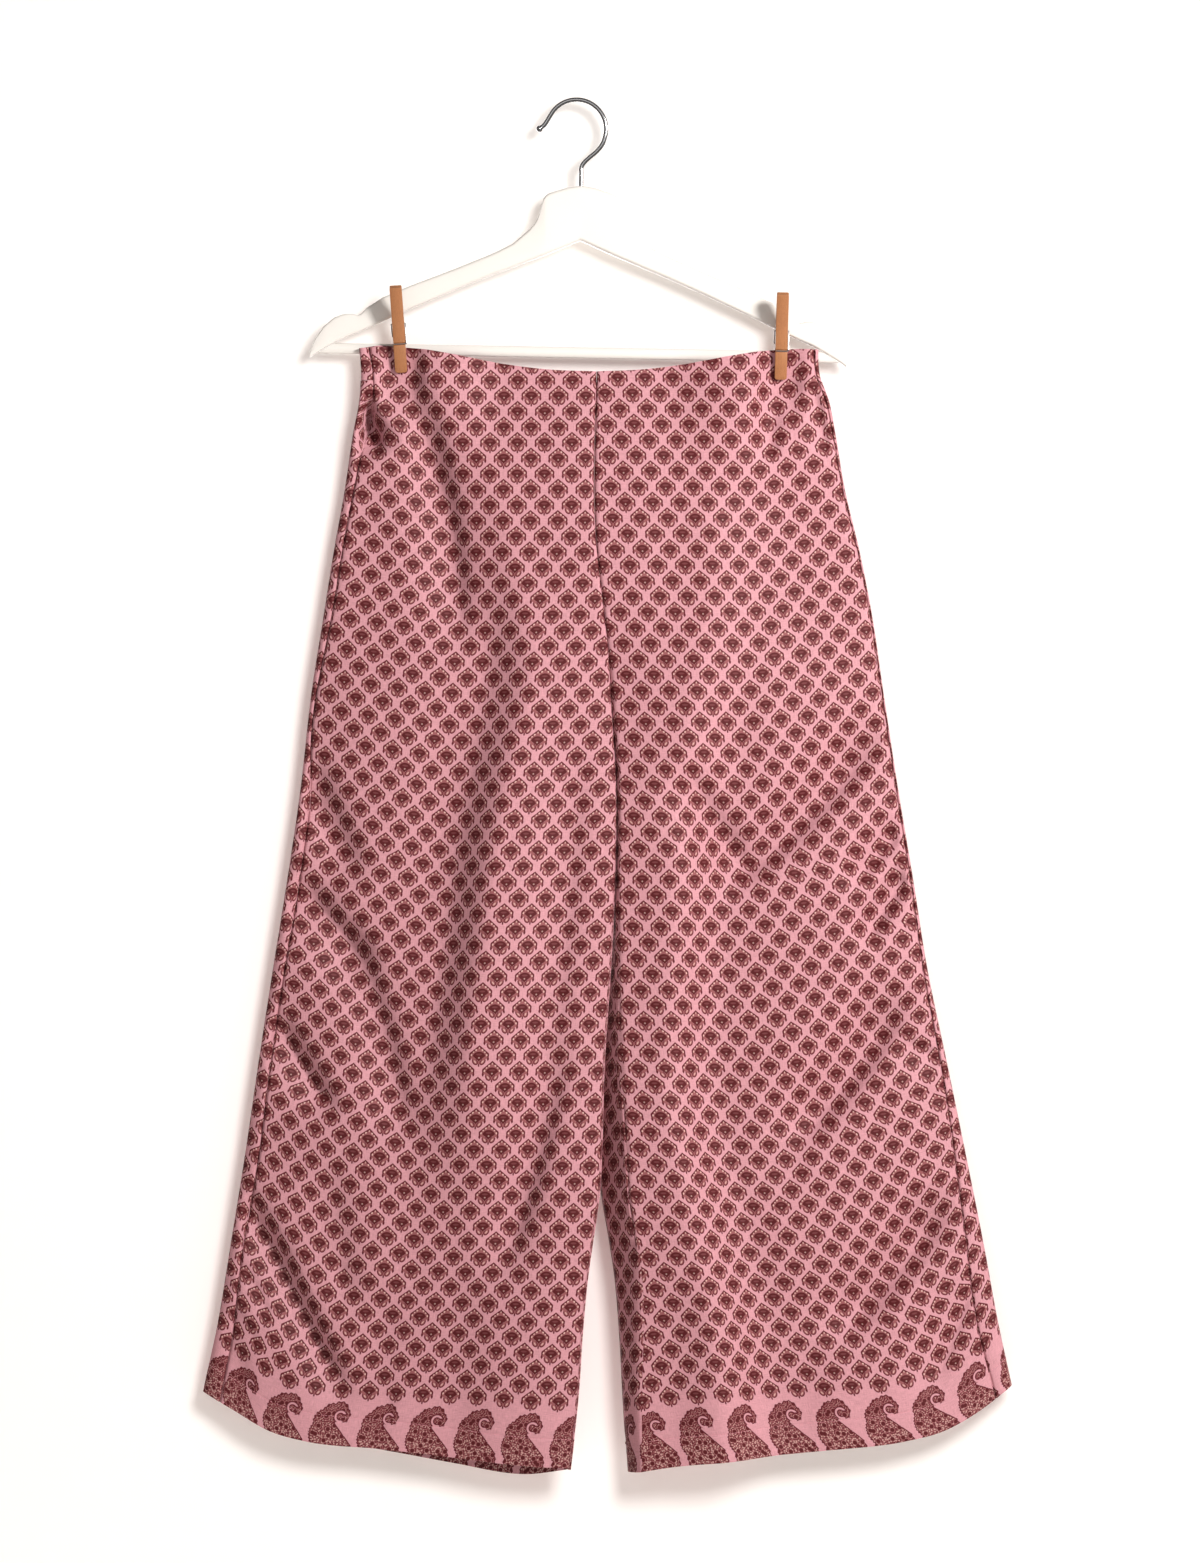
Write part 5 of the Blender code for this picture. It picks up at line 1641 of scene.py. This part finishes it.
def peg_leg(name, node, place, front, number):
    """One wooden leg of a peg, with rounded jaw corners and worn edges."""
    pegs = bpy.context.scene.pants_pegs
    hollow = SPRING_RADIUS + SPRING_WIRE / 2 + SPRING_CLEARANCE + HOLLOW_ROOM
    angles = np.radians(np.linspace(*HOLLOW_ANGLES))
    outline = [(PEG_INNER, -PEG_JAW), (PEG_INNER, -hollow)]
    outline += [(PEG_INNER + hollow * math.cos(a), hollow * math.sin(a)) for a in angles]
    outline += [(PEG_STEP, hollow), (PEG_HANDLE_INNER, PEG_HANDLE)]
    outline += PEG_OUTSIDE
    half = PEG_WIDTH / 2
    shape = bmesh.new()
    sides = [[shape.verts.new((x, -out, up)) for out, up in outline] for x in (-half, half)]
    shape.faces.new(sides[0])
    shape.faces.new(sides[1][::-1])
    for k in range(len(outline)):
        after = (k + 1) % len(outline)
        shape.faces.new((sides[0][after], sides[0][k], sides[1][k], sides[1][after]))
    bmesh.ops.recalc_face_normals(shape, faces=shape.faces)

    def at_end(edge, up):
        near = all(abs(v.co.z - up) < SAME_PLACE for v in edge.verts)
        return near and abs(edge.verts[0].co.x - edge.verts[1].co.x) < SAME_PLACE

    jaw = [e for e in shape.edges if at_end(e, -PEG_JAW)]
    handle = [e for e in shape.edges if at_end(e, PEG_HANDLE)]
    rounded_edges(shape, jaw, pegs.jaw_radius / MM, JAW_SEGMENTS)
    rounded_edges(shape, handle, pegs.edge_radius / MM * HANDLE_ROUNDER, HANDLE_SEGMENTS)
    sharp = [e for e in shape.edges if e.calc_face_angle(0) > math.radians(WORN_FROM)]
    rounded_edges(shape, sharp, pegs.edge_radius / MM, WORN_SEGMENTS)
    bmesh.ops.triangulate(shape, faces=[f for f in shape.faces if len(f.verts) > 4])
    shape.verts.index_update()
    local = np.array([tuple(v.co) for v in shape.verts])
    faces = [tuple(v.index for v in face.verts) for face in shape.faces]
    shape.free()

    turn = place @ leg_turn(front)
    vertices = [tuple(turn @ Vector(p)) for p in local]
    piece = add_mesh(name, vertices, faces, wood_material(), sharp=PEG_SHARP)
    mark_points(piece, "grain_place", local + np.array(GRAIN_APART) * number)
    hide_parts(node)
    return piece


class PANTS_OT_pegs(bpy.types.Operator):
    """Carve the pegs' wooden legs"""

    bl_idname = "pants.pegs"
    bl_label = "Peg legs"

    def execute(self, context):
        number = 0
        for side, x, lean in PEGS:
            for face in ("front", "back"):
                name = f"Peg_{side}_{face}"
                peg_leg(name, name.lower(), peg_place(x, lean), face == "front", number)
                number += 1
        return {"FINISHED"}


class PANTS_OT_springs(bpy.types.Operator):
    """Wind the pegs' springs"""

    bl_idname = "pants.springs"
    bl_label = "Peg springs"

    def execute(self, context):
        steel = metal_material("spring_wire", SPRING_COLOUR, *SPRING_FINISH)
        reach = PEG_WIDTH / 2 + SPRING_WIRE / 2 + SPRING_CLEARANCE
        groove_out = PEG_GROOVE_OUT + SPRING_CLEARANCE + SPRING_WIRE / 2
        for side, x, lean in PEGS:
            ends = []
            for way, front in ((1, True), (-1, False)):
                groove = leg_turn(front) @ Vector((0, -groove_out, -PEG_GROOVE))
                arm = [Vector((way * (SPRING_END - reach), groove.y, groove.z))]
                for inwards, share, lift in SPRING_ARM:
                    place = (way * (reach - inwards), groove.y * share, groove.z * share + lift)
                    arm.append(Vector(place))
                for inwards in SPRING_ENTRY:
                    arm.append(Vector((way * (reach - inwards), 0, -SPRING_RADIUS)))
                ends.append(arm)
            coil = []
            for k in range(SPRING_TURNS * SPRING_STEPS + 1):
                a = 2 * math.pi * k / SPRING_STEPS
                out = SPRING_PITCH * (SPRING_TURNS / 2 - k / SPRING_STEPS)
                y, z = -SPRING_RADIUS * math.sin(a), -SPRING_RADIUS * math.cos(a)
                coil.append(Vector((out, y, z)))
            path = [peg_place(x, lean) @ p for p in ends[0] + coil + ends[1][::-1]]
            rings = tube_rings(smooth_path(path, SPRING_STRETCHES), SPRING_WIRE / 2, SPRING_SIDES)
            node = f"peg_{side}_spring"
            rings_object(node.capitalize(), rings, steel, node)
        return {"FINISHED"}


# ---------------------------------------------------------------- operators for the cloth

CASING_GAP = 0.0003           # between the casing and the back below it, as a share of the height
CASING_ROWS = 22
CASING_TOP_ROWS = (0.0, 0.012, 0.035, 0.07)
CASING_EVEN_FROM = 0.12
CASING_STITCH_ROWS = (0.16, 0.5, 0.86)
SEAM_TO_STITCH = 1.2
HEM_LINE_POINTS = (400, 500)    # on the front and on the back
CASING_LINE_POINTS = 900
BACK_LINE_ENDS = 1.99           # turn where the hem's stitches end at the back
CASING_LINE = (1.01, 1.985)     # turns between which the casing is stitched


class PANTS_OT_fronts(bpy.types.Operator):
    """Cut and hang the two front panels"""

    bl_idname = "pants.fronts"
    bl_label = "Front panels"

    def execute(self, context):
        step = context.scene.pants_cloth.mesh_step / MM
        levels = panel_levels(step, 0.0, TOP_STEPS)
        for leg, node in enumerate(("front_left", "front_right")):
            turn = front_turns(leg, levels, step)
            piece = panel(node.capitalize(), node, leg, turn, levels)
        return {"FINISHED"}


class PANTS_OT_backs(bpy.types.Operator):
    """Cut and hang the two back panels, which wrap round the sides onto the front"""

    bl_idname = "pants.backs"
    bl_label = "Back panels"

    def execute(self, context):
        step = context.scene.pants_cloth.mesh_step / MM
        levels = panel_levels(step, CASING_LEVELS + CASING_GAP, BACK_TOP_STEPS)
        for leg, node in enumerate(("back_left", "back_right")):
            turn = back_turns(leg, levels, step)
            piece = panel(node.capitalize(), node, leg, turn, levels)
        return {"FINISHED"}


class PANTS_OT_casing(bpy.types.Operator):
    """Gather the elastic casing over the back waist"""

    bl_idname = "pants.casing"
    bl_label = "Back waist casing"

    def execute(self, context):
        rows = np.concatenate([CASING_TOP_ROWS, np.linspace(CASING_EVEN_FROM, 1, CASING_ROWS)])
        levels = rows * CASING_LEVELS
        count = CASING_GATHERS * CASING_COLUMNS_A_GATHER
        shares = (np.arange(count) + 0.5) / count
        over = np.tile(2 - turn_at(shares[::-1]), (len(levels), 1))
        halves = []
        for leg in (0, 1):
            turn = np.concatenate([side_wrap(leg, levels), over], axis=1)
            halves.append(cloth_grids(leg, turn, levels, GATHER_HEIGHT))
        joined = [np.concatenate([left, right[:, ::-1]], axis=1) for left, right in zip(*halves)]
        piece = cloth_object("Back_waist_casing", "back_waist_casing", *joined, outward=True)
        return {"FINISHED"}


class PANTS_OT_stitching(bpy.types.Operator):
    """Sew the hems and the casing"""

    bl_idname = "pants.stitching"
    bl_label = "Stitching"

    def execute(self, context):
        thread = thread_material()
        hem, casing = [], []
        level = 1 - HEM_STITCH / GARMENT_LENGTH
        for leg in (0, 1):
            inner_share, side_share, width = seam_shares(leg, np.array([level]))
            first = turn_at(inner_share[0] + SEAM_TO_STITCH / width[0])
            last = turn_at(side_share[0] - SEAM_TO_STITCH / width[0])
            start = turn_at(side_share[0] + SEAM_TO_STITCH / width[0])
            hem += stitch_run(leg, np.linspace(first, last, HEM_LINE_POINTS[0]), level)
            hem += stitch_run(leg, np.linspace(start, BACK_LINE_ENDS, HEM_LINE_POINTS[1]), level)
            for share in CASING_STITCH_ROWS:
                turns = np.linspace(*CASING_LINE, CASING_LINE_POINTS)
                casing += stitch_run(leg, turns, share * CASING_LEVELS, GATHER_HEIGHT)
        stitches("Hem_stitches", hem, thread)
        stitches("Casing_stitches", casing, thread)
        return {"FINISHED"}


# ---------------------------------------------------------------- stage

VIEW_MIDDLE = (0.0191, -0.5642)       # x and z at the middle of the view
WALL_BEHIND = 0.028
FLOOR = -1.26
BACKDROP_GLOW = 0.14
PAPER_ROUGHNESS = 0.95
GLOW_COLOUR = (1.0, 0.88, 0.80, 1.0)
ROOM_COLOUR = (1.0, 0.94, 0.92, 1.0)
STAGE_SIZE = 14.0
LENS_SENSOR = 36.0
SIGHT_ENDS = 50

# The last word is what a light does to the backdrop: lights that alone, leaves it out, or neither.
LIGHTS = (  # name, place, aim, size, share of the key's power, colour, backdrop
    ("Key", (1.3, -1.6, 0.3), (0.0, 0.0, -0.6), 0.5, 1.0, (1.0, 0.985, 0.965), "EXCLUDE"),
    ("Wall light", (0.75, -2.6, 0.25), (0.0, 0.0, -0.5), 0.8, 0.9, (1.0, 0.985, 0.97), "INCLUDE"),
    ("Front fill", (-0.3, -2.8, 0.3), (0.0, 0.0, -0.6), 2.4, 0.15, (1.0, 0.97, 0.96), ""),
    ("Back fill", (-0.6, 3.0, -0.2), (0.0, 0.0, -0.6), 2.4, 1.0, (1.0, 0.99, 0.98), ""),
)


def backdrop_material(colour):
    """Plain pale paper, not there when looked at from behind."""
    material, tree, shader = new_material("backdrop")
    shader.inputs["Base Color"].default_value = (*colour, 1.0)
    shader.inputs["Roughness"].default_value = PAPER_ROUGHNESS
    shader.inputs["Emission Color"].default_value = GLOW_COLOUR
    shader.inputs["Emission Strength"].default_value = BACKDROP_GLOW
    clear = tree.nodes.new("ShaderNodeBsdfTransparent")
    facing = tree.nodes.new("ShaderNodeNewGeometry")
    both = tree.nodes.new("ShaderNodeMixShader")
    tree.links.new(facing.outputs["Backfacing"], both.inputs[0])
    tree.links.new(shader.outputs[0], both.inputs[1])
    tree.links.new(clear.outputs[0], both.inputs[2])
    tree.links.new(both.outputs[0], tree.nodes["Material Output"].inputs[0])
    return material


def stage_plane(name, corners, material):
    mesh = bpy.data.meshes.new(name)
    mesh.from_pydata(corners, [], [(0, 1, 2, 3)])
    mesh.materials.append(material)
    plane = bpy.data.objects.new(name, mesh)
    plane.visible_shadow = False
    plane.visible_glossy = False
    bpy.context.scene.collection.objects.link(plane)
    return plane


def aim_at(item, target):
    item.rotation_euler = (Vector(target) - item.location).to_track_quat("-Z", "Y").to_euler()


class PANTS_OT_stage(bpy.types.Operator):
    """Set the backdrop, the lights and the camera"""

    bl_idname = "pants.stage"
    bl_label = "Stage"

    def execute(self, context):
        scene = context.scene
        settings = scene.pants_stage
        paper = backdrop_material(tuple(settings.backdrop))
        far = STAGE_SIZE / 2
        wall = [(-far, WALL_BEHIND, FLOOR), (far, WALL_BEHIND, FLOOR)]
        wall += [(far, WALL_BEHIND, far), (-far, WALL_BEHIND, far)]
        floor = [(-far, WALL_BEHIND - far, FLOOR), (far, WALL_BEHIND - far, FLOOR)]
        floor += [(far, WALL_BEHIND, FLOOR), (-far, WALL_BEHIND, FLOOR)]
        planes = [stage_plane("Wall", wall, paper), stage_plane("Floor", floor, paper)]
        staged = list(planes)

        for name, place, aim, size, share, colour, backdrop in LIGHTS:
            data = bpy.data.lights.new(name, "AREA")
            data.shape = "DISK"
            data.size = size
            data.energy = settings.key_power * share
            data.color = colour
            lamp = bpy.data.objects.new(name, data)
            lamp.location = place
            aim_at(lamp, aim)
            scene.collection.objects.link(lamp)
            if backdrop:
                group = bpy.data.collections.new(f"{name} and backdrop")
                for plane in planes:
                    group.objects.link(plane)
                for member in group.collection_objects:
                    member.light_linking.link_state = backdrop
                lamp.light_linking.receiver_collection = group
            staged.append(lamp)

        room = bpy.data.worlds.new("Room")
        room.use_nodes = True
        room.node_tree.nodes["Background"].inputs[0].default_value = ROOM_COLOUR
        room.node_tree.nodes["Background"].inputs[1].default_value = settings.fill
        scene.world = room

        data = bpy.data.cameras.new("Camera")
        data.sensor_width = LENS_SENSOR
        data.lens = LENS_SENSOR * settings.camera_distance / settings.view_height
        data.clip_end = SIGHT_ENDS
        camera = bpy.data.objects.new("Camera", data)
        camera.location = (VIEW_MIDDLE[0], -settings.camera_distance, VIEW_MIDDLE[1])
        camera.rotation_euler = (math.pi / 2, 0, 0)
        scene.collection.objects.link(camera)
        scene.camera = camera
        scene.view_settings.view_transform = "Standard"
        return {"FINISHED"}


# ---------------------------------------------------------------- panel and registration

STEPS = (
    PANTS_OT_hanger,
    PANTS_OT_hook,
    PANTS_OT_fronts,
    PANTS_OT_backs,
    PANTS_OT_casing,
    PANTS_OT_stitching,
    PANTS_OT_pegs,
    PANTS_OT_springs,
    PANTS_OT_stage,
)
SETTINGS = (
    ("pants_cloth", ClothSettings),
    ("pants_hanger", HangerSettings),
    ("pants_pegs", PegSettings),
    ("pants_stage", StageSettings),
)


class PANTS_PT_panel(bpy.types.Panel):
    """Lists the steps that build the pants, and their settings"""

    bl_idname = "PANTS_PT_panel"
    bl_label = "Pegged palazzo pants"
    bl_space_type = "VIEW_3D"
    bl_region_type = "UI"
    bl_category = "Pants"

    def draw(self, context):
        for step in STEPS:
            self.layout.operator(step.bl_idname)
        for name, group in SETTINGS:
            box = self.layout.box()
            for key in group.__annotations__:
                box.prop(getattr(context.scene, name), key)


def register():
    for _, group in SETTINGS:
        bpy.utils.register_class(group)
    for name, group in SETTINGS:
        setattr(bpy.types.Scene, name, PointerProperty(type=group))
    for step in STEPS:
        bpy.utils.register_class(step)
    bpy.utils.register_class(PANTS_PT_panel)


def unregister():
    bpy.utils.unregister_class(PANTS_PT_panel)
    for step in reversed(STEPS):
        bpy.utils.unregister_class(step)
    for name, group in reversed(SETTINGS):
        delattr(bpy.types.Scene, name)
        bpy.utils.unregister_class(group)


def main():
    register()
    for step in STEPS:
        family, name = step.bl_idname.split(".")
        getattr(getattr(bpy.ops, family), name)()


if __name__ == "__main__":
    main()
